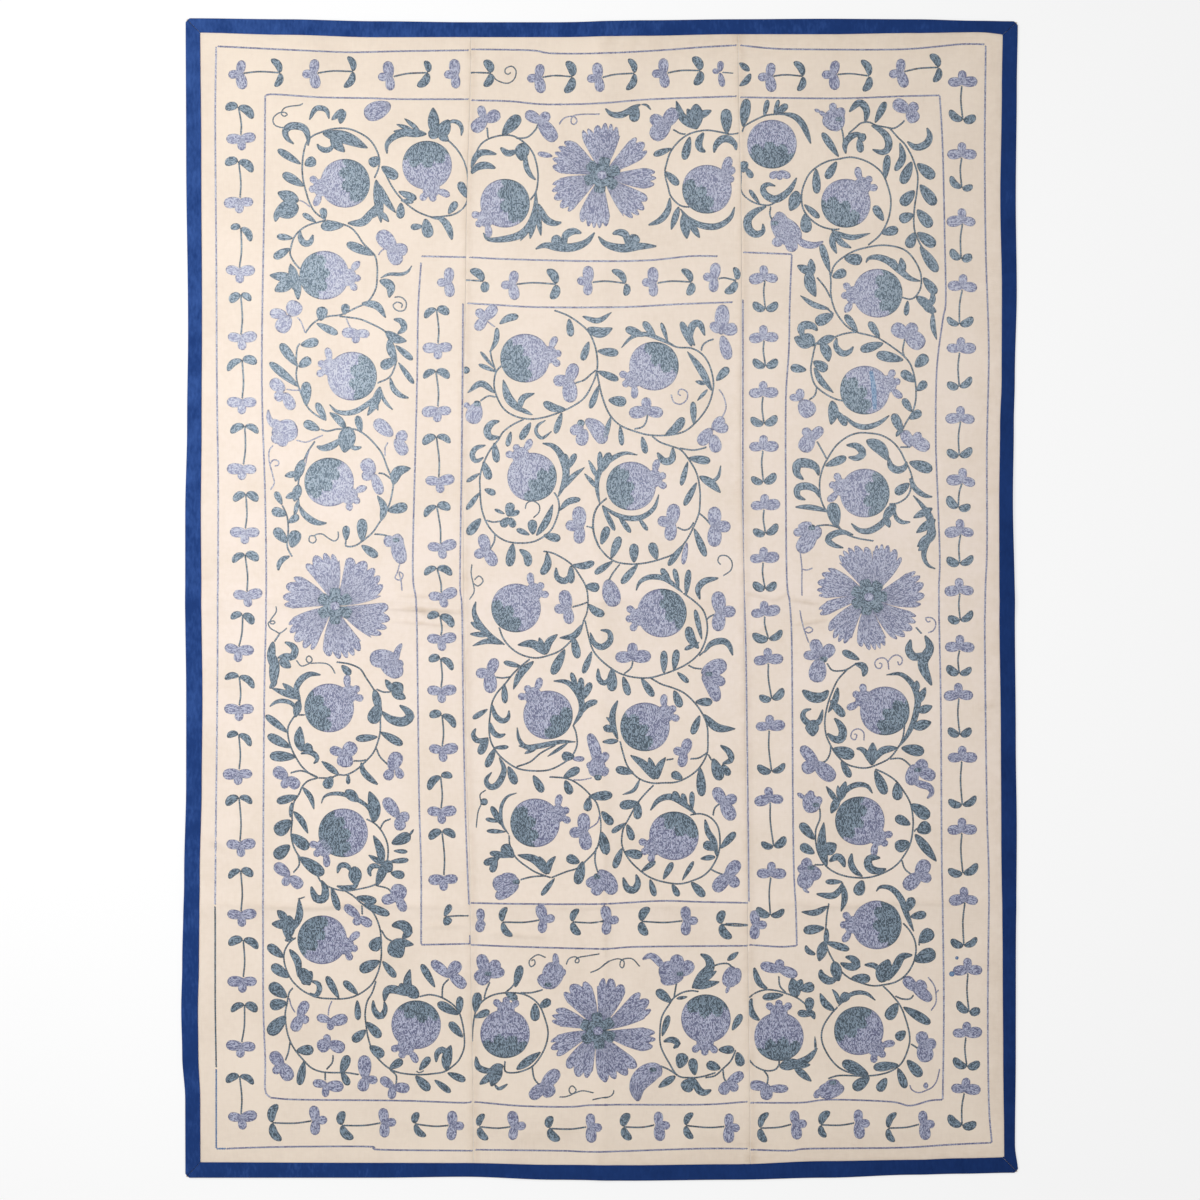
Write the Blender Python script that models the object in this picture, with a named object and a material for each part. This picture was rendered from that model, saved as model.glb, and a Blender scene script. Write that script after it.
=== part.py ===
"""Suzani, an embroidered cotton throw: three ground panels seamed edge to edge, and a blue binding
folded round all four sides. It lies face up on a flat surface, X across its width, Y along its length.

The numbers in the tables and in the sizes below are millimetres. Blender's own units are metres.
"""

import bmesh
import bpy

MM = 0.001

# ---------------------------------------------------------------- driving sizes
HALF_WIDTH = 716.0
HALF_LENGTH = 1000.0
CLOTH = 1.2  # the stitched ground cloth
LEAF = 1.0  # each leaf of the folded binding, seam allowance included
GAP = 0.3  # between two pieces that touch on the real cloth
SEAM_GAP = 0.3  # between two panels
CORNER = 7.0  # how far from a corner its rounding starts
CORNER_CUT = 2.9  # how far the rounding takes the tip back, along each side
FOLD_ROUND = 0.9  # the rounding of the binding's folded outer edge

TUCK = LEAF + GAP  # from the outer edge of the binding to the panel's hidden edge
STACK = 2 * LEAF + 2 * GAP + CLOTH  # height of the bound edge
EASE = 2.0  # the panel stays level this far past the binding's inner edge
RAMP = 32.0  # and is down on the surface this far past it

# ---------------------------------------------------------------- the uneven outline
# Each side is a straight line, moved outward by the second column; the third is the binding's width.
# The first column is the place along the side, from the middle of the cloth.
LEFT_EDGE = [  # along, outward, width
    (-1000, -1.5, 26), (-863, -1.2, 26), (-785, 4.0, 28), (-707, 5.7, 29), (-630, 4.0, 29),
    (-475, 0.5, 27), (-320, -2.9, 27), (-165, -2.9, 28), (-9, -1.2, 28), (146, -1.2, 27),
    (301, -4.7, 25), (456, -6.4, 24), (766, -2.9, 26), (1000, -2.0, 25),
]
RIGHT_EDGE = [  # along, outward, width
    (-990, 5.7, 24), (-940, 0.0, 19), (-785, 1.4, 22), (-630, 1.4, 23), (-397, 3.1, 27),
    (-242, 1.4, 26), (-9, -0.3, 27), (171, -3.8, 24), (301, -2.1, 24), (378, -0.3, 23),
    (533, 3.1, 26), (689, 1.4, 27), (881, 3.1, 26), (995, 4.8, 26),
]
BOTTOM_EDGE = [  # along, outward, width
    (-706, -3.0, 27), (-387, -3.0, 26), (-232, -4.7, 24), (-77, 0.4, 26), (52, 2.1, 27),
    (233, 0.4, 27), (388, -3.0, 29), (543, -8.2, 26), (621, -9.9, 27), (710, -11.6, 27),
]
TOP_EDGE = [  # along, outward, width
    (-698, 2.1, 25), (-542, 0.4, 27), (-387, -3.0, 28), (-232, -4.7, 26), (-77, -4.7, 26),
    (78, -1.3, 27), (233, 0.4, 26), (388, 1.3, 27), (543, 0.4, 24), (655, -2.2, 20), (710, -3.0, 24),
]
SEAMS = [  # along, left seam, right seam
    (-966, -217.6, 259.8), (-518, -222.8, 255.5), (-208, -230.5, 251.2), (-1, -234.0, 248.6),
    (275, -235.7, 243.4), (585, -230.5, 245.2), (969, -221.9, 239.1),
]

# ---------------------------------------------------------------- what lifts it off the surface
FOLD_LINES = [  # side the line runs across, its place, height, half width: creases left by storing it folded
    ("y", -4, 2.4, 34), ("y", -527, 1.8, 30), ("x", 5, 1.6, 30),
]
SWELLS = [  # x, y, reach in x, reach in y, height: where the cloth doesn't lie quite flat
    (-660, 380, 150, 220, 2.6), (-610, -400, 210, 190, 1.8), (660, 150, 170, 230, 2.4),
    (590, -600, 220, 200, 2.2), (-330, 860, 240, 170, 2.0), (340, 820, 260, 190, 1.6),
    (-90, -860, 250, 160, 1.8), (90, 420, 260, 240, 1.5), (-400, 60, 190, 260, 1.4),
]
FLAT_CORNER = 170.0  # the cloth lies flat this near a corner

# ---------------------------------------------------------------- where the mesh has its rows and columns
FIRST_ROW = 925.0  # the last straight row before the top and bottom binding
ROW_STEPS = 24
CREASE_ROWS = [fold for fold in FOLD_LINES if fold[0] == "y"]
SIDE_COLUMNS = 6
MIDDLE_COLUMNS = 8

MATERIALS = {  # colour, roughness
    "ground_cotton": ((0.80, 0.70, 0.60, 1.0), 0.9),
    "blue_cotton": ((0.035, 0.085, 0.29, 1.0), 0.85),
}


def blend(table, along, column):
    """A column of a table at a place between its rows, eased from one row to the next."""
    if along <= table[0][0]:
        return table[0][column]
    for low, high in zip(table, table[1:]):
        if along <= high[0]:
            t = (along - low[0]) / (high[0] - low[0])
            ease = t * t * (3 - 2 * t)
            return low[column] + ease * (high[column] - low[column])
    return table[-1][column]


def bump(distance):
    """A soft hill, 1 at its middle and 0 from a distance of 1 on."""
    return max(0.0, 1.0 - distance * distance) ** 2


def lift(x, y):
    """How far the cloth's underside is off the surface at a place."""
    height = 0.0
    for across, place, tall, half_width in FOLD_LINES:
        height += tall * bump(((y if across == "y" else x) - place) / half_width)
    for cx, cy, reach_x, reach_y, tall in SWELLS:
        height += tall * bump((((x - cx) / reach_x) ** 2 + ((y - cy) / reach_y) ** 2) ** 0.5)
    to_corner = ((HALF_WIDTH - abs(x)) ** 2 + (HALF_LENGTH - abs(y)) ** 2) ** 0.5
    return height * (1.0 - bump(to_corner / FLAT_CORNER))


# ---------------------------------------------------------------- the four sides
def side_x(table, sign, y, inset):
    """x of a left or right side at height y, a distance in from its outer edge."""
    return sign * (HALF_WIDTH + blend(table, y, 1) - inset)


def side_y(table, sign, x, inset):
    """y of the bottom or top side at x, a distance in from its outer edge."""
    return sign * (HALF_LENGTH + blend(table, x, 1) - inset)


def left(y, inset=0.0):
    return side_x(LEFT_EDGE, -1, y, inset)


def right(y, inset=0.0):
    return side_x(RIGHT_EDGE, 1, y, inset)


def bottom(x, inset=0.0):
    return side_y(BOTTOM_EDGE, -1, x, inset)


def top(x, inset=0.0):
    return side_y(TOP_EDGE, 1, x, inset)


def corner(side, end, side_inset, end_inset):
    """Where a left or right side meets the bottom or top one, each taken in by its inset."""
    x = side(end(0.0), side_inset)
    y = end(x, end_inset)
    return side(y, side_inset), y


# ---------------------------------------------------------------- rows and columns shared by all the pieces
def straight_rows():
    """The rows that run straight across panels and side bindings, bottom to top, with three at each crease."""
    rows = {-FIRST_ROW + 2 * FIRST_ROW * k / ROW_STEPS for k in range(ROW_STEPS + 1)}
    for _, place, _, half_width in CREASE_ROWS:
        rows = {row for row in rows if abs(row - place) > 1.3 * half_width}
        rows |= {place - half_width, place, place + half_width}
    return sorted(rows)


def seam(column, y):
    """x of the left seam (column 1) or the right one (column 2)."""
    return blend(SEAMS, y, column)


def columns_at(y):
    """x of each panel's columns at a height: three lists, left panel to right one."""
    half = SEAM_GAP / 2
    first = left(y, blend(LEFT_EDGE, y, 2) + RAMP)
    last = right(y, blend(RIGHT_EDGE, y, 2) + RAMP)
    left_seam, right_seam = seam(1, y), seam(2, y)
    spans = [
        (first, left_seam - half, SIDE_COLUMNS),
        (left_seam + half, right_seam - half, MIDDLE_COLUMNS),
        (right_seam + half, last, SIDE_COLUMNS),
    ]
    lists = [[a + (b - a) * k / n for k in range(n + 1)] for a, b, n in spans]
    hidden_left = [left(y, TUCK), left(y, blend(LEFT_EDGE, y, 2) + EASE)]
    hidden_right = [right(y, blend(RIGHT_EDGE, y, 2) + EASE), right(y, TUCK)]
    return [hidden_left + lists[0], lists[1], lists[2] + hidden_right]


def rise(x, y):
    """How far the panel climbs to enter the fold of the binding, at a place."""
    past = min(
        x - left(y, blend(LEFT_EDGE, y, 2)),
        right(y, blend(RIGHT_EDGE, y, 2)) - x,
        y - bottom(x, blend(BOTTOM_EDGE, x, 2)),
        top(x, blend(TOP_EDGE, x, 2)) - y,
    )
    down = min(1.0, max(0.0, (past - EASE) / (RAMP - EASE)))
    return TUCK * (1.0 - down)


def panel_rows(x, rows):
    """y of every row of a panel at x: two under and beside each end binding, and the straight ones between."""
    low_width, high_width = blend(BOTTOM_EDGE, x, 2), blend(TOP_EDGE, x, 2)
    low = [bottom(x, TUCK), bottom(x, low_width + EASE), bottom(x, low_width + RAMP)]
    high = [top(x, high_width + RAMP), top(x, high_width + EASE), top(x, TUCK)]
    return low + rows + high


# ---------------------------------------------------------------- making the solids
def material(name):
    """The named material, made the first time it is asked for."""
    if name in bpy.data.materials:
        return bpy.data.materials[name]
    colour, roughness = MATERIALS[name]
    made = bpy.data.materials.new(name)
    made.use_nodes = True
    shader = made.node_tree.nodes["Principled BSDF"]
    shader.inputs["Base Color"].default_value = colour
    shader.inputs["Roughness"].default_value = roughness
    shader.inputs["Metallic"].default_value = 0.0
    made.diffuse_color = colour
    return made


def finish(name, bm, finish_name):
    """Turns a closed bmesh, in millimetres, into an object."""
    bmesh.ops.scale(bm, vec=(MM, MM, MM), verts=bm.verts)
    bmesh.ops.recalc_face_normals(bm, faces=bm.faces)
    mesh = bpy.data.meshes.new(name)
    bm.to_mesh(mesh)
    bm.free()
    mesh.materials.append(material(finish_name))
    obj = bpy.data.objects.new(name, mesh)
    bpy.context.scene.collection.objects.link(obj)
    return obj


def make_panel(name, number, rows):
    """One ground panel: a grid laid on the surface's swells, then given the cloth's thickness."""
    across = len(columns_at(0.0)[number])
    upward = len(panel_rows(0.0, rows))
    bm = bmesh.new()
    bmesh.ops.create_grid(bm, x_segments=across - 1, y_segments=upward - 1, size=1.0)
    for vertex in bm.verts:
        column = round((vertex.co.x + 1.0) / 2.0 * (across - 1))
        row = round((vertex.co.y + 1.0) / 2.0 * (upward - 1))
        near_y = panel_rows(columns_at(0.0)[number][column], rows)[row]
        x = columns_at(near_y)[number][column]
        y = panel_rows(x, rows)[row]
        at_side = (number == 0 and column == 0) or (number == 2 and column == across - 1)
        if at_side and row in (0, upward - 1):  # the corner is snipped to turn inside the binding
            x -= CORNER_CUT * (1.0 if x > 0 else -1.0)
            y -= CORNER_CUT * (1.0 if y > 0 else -1.0)
        vertex.co = (x, y, lift(x, y) + rise(x, y))
    upper = bmesh.ops.extrude_face_region(bm, geom=list(bm.faces))["geom"]
    moved = [part for part in upper if isinstance(part, bmesh.types.BMVert)]
    bmesh.ops.translate(bm, vec=(0.0, 0.0, CLOTH), verts=moved)
    return finish(name, bm, "ground_cotton")


def fold_section(width):
    """The binding's folded section as (distance in from the outer edge, height), open towards the panel."""
    return [
        (width, 0.0), (FOLD_ROUND, 0.0), (0.0, FOLD_ROUND), (0.0, STACK - FOLD_ROUND),
        (FOLD_ROUND, STACK), (width, STACK), (width, STACK - LEAF), (LEAF, STACK - LEAF),
        (LEAF, LEAF), (width, LEAF),
    ]


def make_binding(name, stations):
    """One side of the binding. A station is (outer point, inner point, width) in the plan."""
    bm = bmesh.new()
    rings = []
    for outer, inner, width in stations:
        ring = []
        for inset, height in fold_section(width):
            share = inset / width
            x = outer[0] + (inner[0] - outer[0]) * share
            y = outer[1] + (inner[1] - outer[1]) * share
            base = lift((outer[0] + inner[0]) / 2, (outer[1] + inner[1]) / 2)
            ring.append(bm.verts.new((x, y, base + height)))
        rings.append(ring)
    for before, after in zip(rings, rings[1:]):
        for k in range(len(before)):
            j = (k + 1) % len(before)
            bm.faces.new((before[k], before[j], after[j], after[k]))
    bm.faces.new(rings[0])
    bm.faces.new(rings[-1])
    return finish(name, bm, "blue_cotton")


def mitre(side, end, side_width, end_width, away_x, away_y):
    """The last station of a strip, on a corner's diagonal, moved half a gap along the strip."""
    outer = corner(side, end, CORNER_CUT, CORNER_CUT)
    inner = corner(side, end, side_width, end_width)
    return (
        (outer[0] + away_x, outer[1] + away_y),
        (inner[0] + away_x, inner[1] + away_y),
        side_width,
    )


def side_binding(name, side, table, rows):
    """The left or the right strip, bottom to top."""
    stations = []
    for end, end_table, sign in ((bottom, BOTTOM_EDGE, -1), (top, TOP_EDGE, 1)):
        width = blend(table, sign * HALF_LENGTH, 2)
        end_width = blend(end_table, side(end(0.0)), 2)
        tip = mitre(side, end, width, end_width, 0.0, -sign * GAP)
        y = end(side(end(0.0)), CORNER)
        turn = ((side(y), y), (tip[1][0], tip[1][1] - sign * GAP), width)
        stations.append((tip, turn))
    between = [((side(y), y), (side(y, blend(table, y, 2)), y), blend(table, y, 2)) for y in rows]
    (low_tip, low_turn), (high_tip, high_turn) = stations
    make_binding(name, [low_tip, low_turn, *between, high_turn, high_tip])


def end_binding(name, end, table):
    """The bottom or the top strip, left to right."""
    stations = []
    for side, side_table, sign in ((left, LEFT_EDGE, -1), (right, RIGHT_EDGE, 1)):
        side_width = blend(side_table, end(0.0), 2)
        width = blend(table, side(end(0.0)), 2)
        tip = mitre(side, end, side_width, width, -sign * GAP, 0.0)
        x = side(end(0.0), CORNER)
        turn = ((x, end(x)), (tip[1][0] - sign * GAP, tip[1][1]), width)
        stations.append(((tip[0], tip[1], width), turn))
    columns = [x for panel in columns_at(end(0.0)) for x in panel]
    inside = columns[2:-2]  # the panels' own columns, without the two hidden in each side binding
    between = [((x, end(x)), (x, end(x, blend(table, x, 2))), blend(table, x, 2)) for x in inside]
    (low_tip, low_turn), (high_tip, high_turn) = stations
    make_binding(name, [low_tip, low_turn, *between, high_turn, high_tip])


def main():
    for obj in list(bpy.data.objects):
        bpy.data.objects.remove(obj)
    rows = straight_rows()
    for number, name in enumerate(("panel_left", "panel_middle", "panel_right")):
        make_panel(name, number, rows)
    side_binding("binding_left", left, LEFT_EDGE, rows)
    side_binding("binding_right", right, RIGHT_EDGE, rows)
    end_binding("binding_bottom", bottom, BOTTOM_EDGE)
    end_binding("binding_top", top, TOP_EDGE)


main()
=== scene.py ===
# %% [markdown]
# # A suzani: silk chain stitch on seamed cotton
#
# The real thing is a bed cover. Three strips of narrow hand-woven cotton are sewn edge to edge, a pattern
# of pomegranates, rosettes and leafy vines is worked on them in rows of chain stitch, and a blue cotton
# strip is folded round the edge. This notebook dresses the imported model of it: the cloth's shape first,
# then its finishes, then the needlework, motif by motif, and last the floor, the light and the camera.

import bmesh
import bpy
import numpy as np
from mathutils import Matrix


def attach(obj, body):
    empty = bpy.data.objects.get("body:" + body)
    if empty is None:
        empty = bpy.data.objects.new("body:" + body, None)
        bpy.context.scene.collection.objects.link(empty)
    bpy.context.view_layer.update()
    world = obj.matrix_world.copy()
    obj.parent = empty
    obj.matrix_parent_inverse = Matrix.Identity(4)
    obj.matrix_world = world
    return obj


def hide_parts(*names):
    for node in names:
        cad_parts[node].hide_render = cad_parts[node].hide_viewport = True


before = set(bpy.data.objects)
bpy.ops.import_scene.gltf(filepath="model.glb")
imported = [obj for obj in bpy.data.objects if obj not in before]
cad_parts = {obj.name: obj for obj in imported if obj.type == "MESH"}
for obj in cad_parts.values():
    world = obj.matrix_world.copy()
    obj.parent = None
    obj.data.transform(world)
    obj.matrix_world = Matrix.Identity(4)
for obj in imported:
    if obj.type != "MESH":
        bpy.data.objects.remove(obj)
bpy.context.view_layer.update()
print("solids:", ", ".join(sorted(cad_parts)))

# %% [markdown]
# ## The cloth's outline
# Hand-made cloth is never a true rectangle. Each side here is a straight line pushed in and out by a few
# millimetres, with the binding's width beside it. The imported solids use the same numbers, so a piece that
# is worked out from them lies exactly where its solid does. Everything is in millimetres until a mesh is
# done.

# %% Sizes of the cloth and its four uneven sides
MM = 0.001
HALF_WIDTH = 716.0
HALF_LENGTH = 1000.0
SOLID_CLOTH = 1.2  # the solid's thickness: the ground with its needlework
GROUND = 0.5  # the ground cotton alone
LEAF = 1.0  # one leaf of the folded binding
GAP = 0.3  # between two pieces that touch
CORNER = 7.0  # where a corner's rounding starts
CORNER_CUT = 2.9  # what the rounding takes off the tip, along each side

LEFT_EDGE = [  # along, outward, width of the binding
    (-1000, -1.5, 26), (-863, -1.2, 26), (-785, 4.0, 28), (-707, 5.7, 29), (-630, 4.0, 29),
    (-475, 0.5, 27), (-320, -2.9, 27), (-165, -2.9, 28), (-9, -1.2, 28), (146, -1.2, 27),
    (301, -4.7, 25), (456, -6.4, 24), (766, -2.9, 26), (1000, -2.0, 25),
]
RIGHT_EDGE = [
    (-990, 5.7, 24), (-940, 0.0, 19), (-785, 1.4, 22), (-630, 1.4, 23), (-397, 3.1, 27),
    (-242, 1.4, 26), (-9, -0.3, 27), (171, -3.8, 24), (301, -2.1, 24), (378, -0.3, 23),
    (533, 3.1, 26), (689, 1.4, 27), (881, 3.1, 26), (995, 4.8, 26),
]
BOTTOM_EDGE = [
    (-706, -3.0, 27), (-387, -3.0, 26), (-232, -4.7, 24), (-77, 0.4, 26), (52, 2.1, 27),
    (233, 0.4, 27), (388, -3.0, 29), (543, -8.2, 26), (621, -9.9, 27), (710, -11.6, 27),
]
TOP_EDGE = [
    (-698, 2.1, 25), (-542, 0.4, 27), (-387, -3.0, 28), (-232, -4.7, 26), (-77, -4.7, 26),
    (78, -1.3, 27), (233, 0.4, 26), (388, 1.3, 27), (543, 0.4, 24), (655, -2.2, 20), (710, -3.0, 24),
]
SEAMS = [  # along, left seam, right seam
    (-966, -217.6, 259.8), (-518, -222.8, 255.5), (-208, -230.5, 251.2), (-1, -234.0, 248.6),
    (275, -235.7, 243.4), (585, -230.5, 245.2), (969, -221.9, 239.1),
]


def eased(table, along, column):
    """A column of a table at any places along a side, eased from one row to the next."""
    places = np.array([row[0] for row in table], float)
    values = np.array([row[column] for row in table], float)
    along = np.clip(along, places[0], places[-1])
    row = np.clip(np.searchsorted(places, along, side="right") - 1, 0, len(places) - 2)
    share = (along - places[row]) / (places[row + 1] - places[row])
    return values[row] + share * share * (3 - 2 * share) * (values[row + 1] - values[row])


def left(y, inset=0.0):
    return -(HALF_WIDTH + eased(LEFT_EDGE, y, 1) - inset)


def right(y, inset=0.0):
    return HALF_WIDTH + eased(RIGHT_EDGE, y, 1) - inset


def bottom(x, inset=0.0):
    return -(HALF_LENGTH + eased(BOTTOM_EDGE, x, 1) - inset)


def top(x, inset=0.0):
    return HALF_LENGTH + eased(TOP_EDGE, x, 1) - inset


def seam(number, y):
    """x of the left seam (1) or the right one (2)."""
    return eased(SEAMS, y, number)


print("width at the middle:", round(float(right(0.0) - left(0.0)), 1), "mm")

# %% [markdown]
# ## How the cloth lies
# A spread cloth keeps the creases of its storage and swells a little off the floor here and there. The
# solids have the large swells. Narrow creases, the ridges beside each seam, where the allowances are
# pressed open underneath, and the climb into the fold of the binding are added here. One function gives
# the height of the cloth's underside anywhere, so the cotton and every stitch on it follow the same
# relief.

# %% Storage folds, swells and creases
FOLD_LINES = [  # side it runs across, place, height, half width
    ("y", -4, 2.4, 34), ("y", -527, 1.8, 30), ("x", 5, 1.6, 30),
]
SWELLS = [  # x, y, reach in x, reach in y, height
    (-660, 380, 150, 220, 2.6), (-610, -400, 210, 190, 1.8), (660, 150, 170, 230, 2.4),
    (590, -600, 220, 200, 2.2), (-330, 860, 240, 170, 2.0), (340, 820, 260, 190, 1.6),
    (-90, -860, 250, 160, 1.8), (90, 420, 260, 240, 1.5), (-400, 60, 190, 260, 1.4),
]
CREASES = [  # x, y of one end, x, y of the other, half width, height, how soiled
    (-82, 975, -30, 520, 11, 0.8, 0.1), (-30, 520, 8, -120, 10, 0.8, 0.15),
    (8, -120, 9, -960, 9, 1.2, 0.35), (-690, -3, -240, -6, 9, 1.2, 0.25),
    (-235, -6, 250, -2, 9, 1.0, 0.2), (252, -2, 694, 0, 9, 1.2, 0.25),
    (-690, -529, -230, -527, 9, 1.4, 0.4), (-225, -527, 255, -529, 9, 1.1, 0.3),
    (258, -529, 690, -522, 9, 1.3, 0.35), (-376, -15, -230, -22, 6, 1.9, 0.9),
    (-366, -37, -240, -48, 5, 1.3, 0.6), (-330, -8, -290, -32, 6, 1.0, 0.6),
    (-352, 6, -262, 2, 5, 1.1, 0.4), (296, -4, 332, 13, 5, 1.3, 0.6), (324, 1, 382, -11, 5, 1.5, 0.7),
    (328, -44, 394, -37, 5, 1.4, 0.6), (244, 12, 302, -3, 5, 1.1, 0.5), (250, -60, 292, -48, 6, 1.0, 0.4),
    (-306, -565, -216, -563, 8, 1.0, 0.3), (-208, -577, -76, -583, 8, 1.0, 0.3),
    (-688, -402, -640, -450, 11, 1.1, 0.3), (-690, -440, -655, -398, 9, 0.9, 0.2),
    (-694, 42, -668, 38, 7, 0.9, 0.3), (640, -196, 690, -178, 11, 1.0, 0.3),
    (566, 8, 584, 7, 6, 0.8, 0.2), (-560, 905, -430, 935, 15, 0.7, 0.1),
    (380, 930, 520, 905, 15, 0.7, 0.1), (-640, 150, -560, 175, 13, 0.7, 0.1),
    (560, 330, 640, 300, 13, 0.7, 0.1), (-150, -935, -40, -915, 14, 0.7, 0.2),
    (150, -925, 300, -945, 14, 0.7, 0.2), (-420, -640, -330, -600, 14, 0.6, 0.1),
]
CREASE_HEIGHT, CREASE_SOIL = 5, 6  # columns of that table
WAVER = 37.0  # a crease wavers once in 2 pi times this length
FLAT_CORNER = 170.0  # the cloth lies flat this near a corner
SEAM_RIDGE = 0.45
SEAM_RIDGE_OFF = 4.0  # from the seam to the top of its ridge
SEAM_SOIL, SEAM_SOIL_REACH = 0.45, 16.0
EDGE_SOIL, EDGE_SOIL_LEAN, EDGE_SOIL_REACH = 0.20, 0.12, 60.0
TUCK = LEAF + GAP
STACK = 2 * LEAF + 2 * GAP + SOLID_CLOTH
EASE = 2.0  # the ground runs level this far inside the binding
RAMP = 32.0  # and is down on the floor this far inside it


def bump(distance):
    """A soft hill, 1 at its middle and 0 from a distance of 1 on."""
    return np.maximum(0.0, 1.0 - distance * distance) ** 2


def lift(x, y):
    """How far the solid's underside is off the floor."""
    height = sum(
        tall * bump(((y if across == "y" else x) - place) / half_width)
        for across, place, tall, half_width in FOLD_LINES
    )
    for middle_x, middle_y, reach_x, reach_y, tall in SWELLS:
        height = height + tall * bump(np.hypot((x - middle_x) / reach_x, (y - middle_y) / reach_y))
    to_corner = np.hypot(HALF_WIDTH - np.abs(x), HALF_LENGTH - np.abs(y))
    return height * (1.0 - bump(to_corner / FLAT_CORNER))


def inside_binding(x, y):
    """How far a place is in from the nearest inner edge of the binding; negative under the binding."""
    return np.minimum.reduce([
        x - left(y, eased(LEFT_EDGE, y, 2)),
        right(y, eased(RIGHT_EDGE, y, 2)) - x,
        y - bottom(x, eased(BOTTOM_EDGE, x, 2)),
        top(x, eased(TOP_EDGE, x, 2)) - y,
    ])


def along_creases(x, y, column):
    """One column of CREASES, the height or the soil, laid along every crease."""
    total = np.zeros_like(x)
    for crease in CREASES:
        x0, y0, x1, y1, half_width = crease[:5]
        run = np.hypot(x1 - x0, y1 - y0)
        along = ((x - x0) * (x1 - x0) + (y - y0) * (y1 - y0)) / run**2
        off = ((x - x0) * (y1 - y0) - (y - y0) * (x1 - x0)) / run
        waver = 0.25 * half_width * np.sin(along * run / WAVER)
        total += crease[column] * bump((off + waver) / half_width) * bump(2.0 * along - 1.0) ** 0.5
    return total


def creases(x, y):
    """Height of the narrow creases and of the ridges beside each seam."""
    height = along_creases(x, y, CREASE_HEIGHT)
    for number in (1, 2):
        off = np.abs(x - seam(number, y))
        height += SEAM_RIDGE * bump((off - SEAM_RIDGE_OFF) / SEAM_RIDGE_OFF)
    return height


def soil(x, y):
    """Dust in the folds and seams, and the grime of handling beside the binding, most on the right."""
    caught = along_creases(x, y, CREASE_SOIL)
    for number in (1, 2):
        caught += SEAM_SOIL * bump(np.abs(x - seam(number, y)) / SEAM_SOIL_REACH)
    beside = bump(np.clip(inside_binding(x, y), 0.0, None) / EDGE_SOIL_REACH)
    return np.clip(caught + beside * (EDGE_SOIL + EDGE_SOIL_LEAN * np.sign(x)), 0.0, 1.0)


def underside(x, y):
    """Height of the ground cotton's underside, anywhere on the cloth."""
    past = inside_binding(x, y)
    down = np.clip((past - EASE) / (RAMP - EASE), 0.0, 1.0)
    return lift(x, y) + TUCK * (1.0 - down) + creases(x, y) * np.clip(past / 6.0, 0.0, 1.0)


sample_x, sample_y = np.meshgrid(np.linspace(-660, 660, 60), np.linspace(-950, 950, 80))
print("highest swell and crease:", round(float(underside(sample_x, sample_y).max()), 2), "mm")

# %% [markdown]
# ## Finishes
# Two cottons and three threads. The ground is hand-woven, unbleached and uneven, so its weave is two sets
# of fine waves with slubs and faint clouds of tone, and a `soil` attribute on its mesh says where dust has
# been caught. The blue is painted paler at the upper left and deeper at the lower right, as light from the
# left falls on it. The silk is what gives a suzani its life: each chain stitch catches the light by itself,
# so the thread reads a `stitching` attribute, which counts rows and stitches, and gives every stitch its
# own brightness with painted highlights, a painted dark middle and a painted shadow at the edge, and the
# silk a painted sheen.

# %% Helpers that write shader nodes in few words
def linear(red, green, blue):
    """A colour as a screen shows it, 0 to 255, in the shader's own linear light."""
    shares = np.array([red, green, blue]) / 255.0
    return (*np.where(shares <= 0.04045, shares / 12.92, ((shares + 0.055) / 1.055) ** 2.4).tolist(), 1.0)


class Finish:
    """A material and short calls that add and join its nodes."""

    def __init__(self, name, roughness, sheen=0.0, specular=0.5):
        self.material = bpy.data.materials.new(name)
        self.material.use_nodes = True
        self.tree = self.material.node_tree
        self.shader = self.tree.nodes["Principled BSDF"]
        self.shader.inputs["Roughness"].default_value = roughness
        self.shader.inputs["Sheen Weight"].default_value = sheen
        self.shader.inputs["Specular IOR Level"].default_value = specular

    def node(self, kind, inputs, output=0, **settings):
        """Adds a node, sets or links its inputs, and gives back one of its outputs."""
        made = self.tree.nodes.new("ShaderNode" + kind)
        for setting, value in settings.items():
            setattr(made, setting, value)
        for socket, value in inputs.items():
            self.put(made.inputs[socket], value)
        return made.outputs[output]

    def put(self, socket, value):
        if isinstance(value, bpy.types.NodeSocket):
            self.tree.links.new(value, socket)
        else:
            socket.default_value = value

    def sum(self, operation, first, second=0.0, third=0.0):
        return self.node("Math", {0: first, 1: second, 2: third}, operation=operation)

    def mix(self, share, first, second):
        return self.node("Mix", {0: share, 6: first, 7: second}, 2, data_type="RGBA")

    def noise(self, place, scale, detail=2.0, stretch=(1.0, 1.0, 1.0)):
        moved = self.node("Mapping", {"Vector": place, "Scale": stretch})
        return self.node("TexNoise", {"Vector": moved, "Scale": scale, "Detail": detail})

    def parts(self, vector):
        made = self.tree.nodes.new("ShaderNodeSeparateXYZ")
        self.put(made.inputs[0], vector)
        return made.outputs[0], made.outputs[1], made.outputs[2]

    def weave(self, place, pitch):
        """A plain weave's height: two sets of threads, each showing where it passes over the other."""
        across, along, _ = self.parts(place)
        turn = 3.14159 / pitch
        warp = self.sum("SINE", self.sum("MULTIPLY", across, turn))
        weft = self.sum("SINE", self.sum("MULTIPLY", along, turn))
        over = self.sum("MULTIPLY", warp, weft)
        return self.sum("MULTIPLY_ADD", over, 0.5, 0.5)

    def colour(self, value):
        self.put(self.shader.inputs["Base Color"], value)

    def relief(self, height, distance, strength=1.0):
        bumped = self.node("Bump", {"Height": height, "Distance": distance, "Strength": strength})
        self.put(self.shader.inputs["Normal"], bumped)


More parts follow.
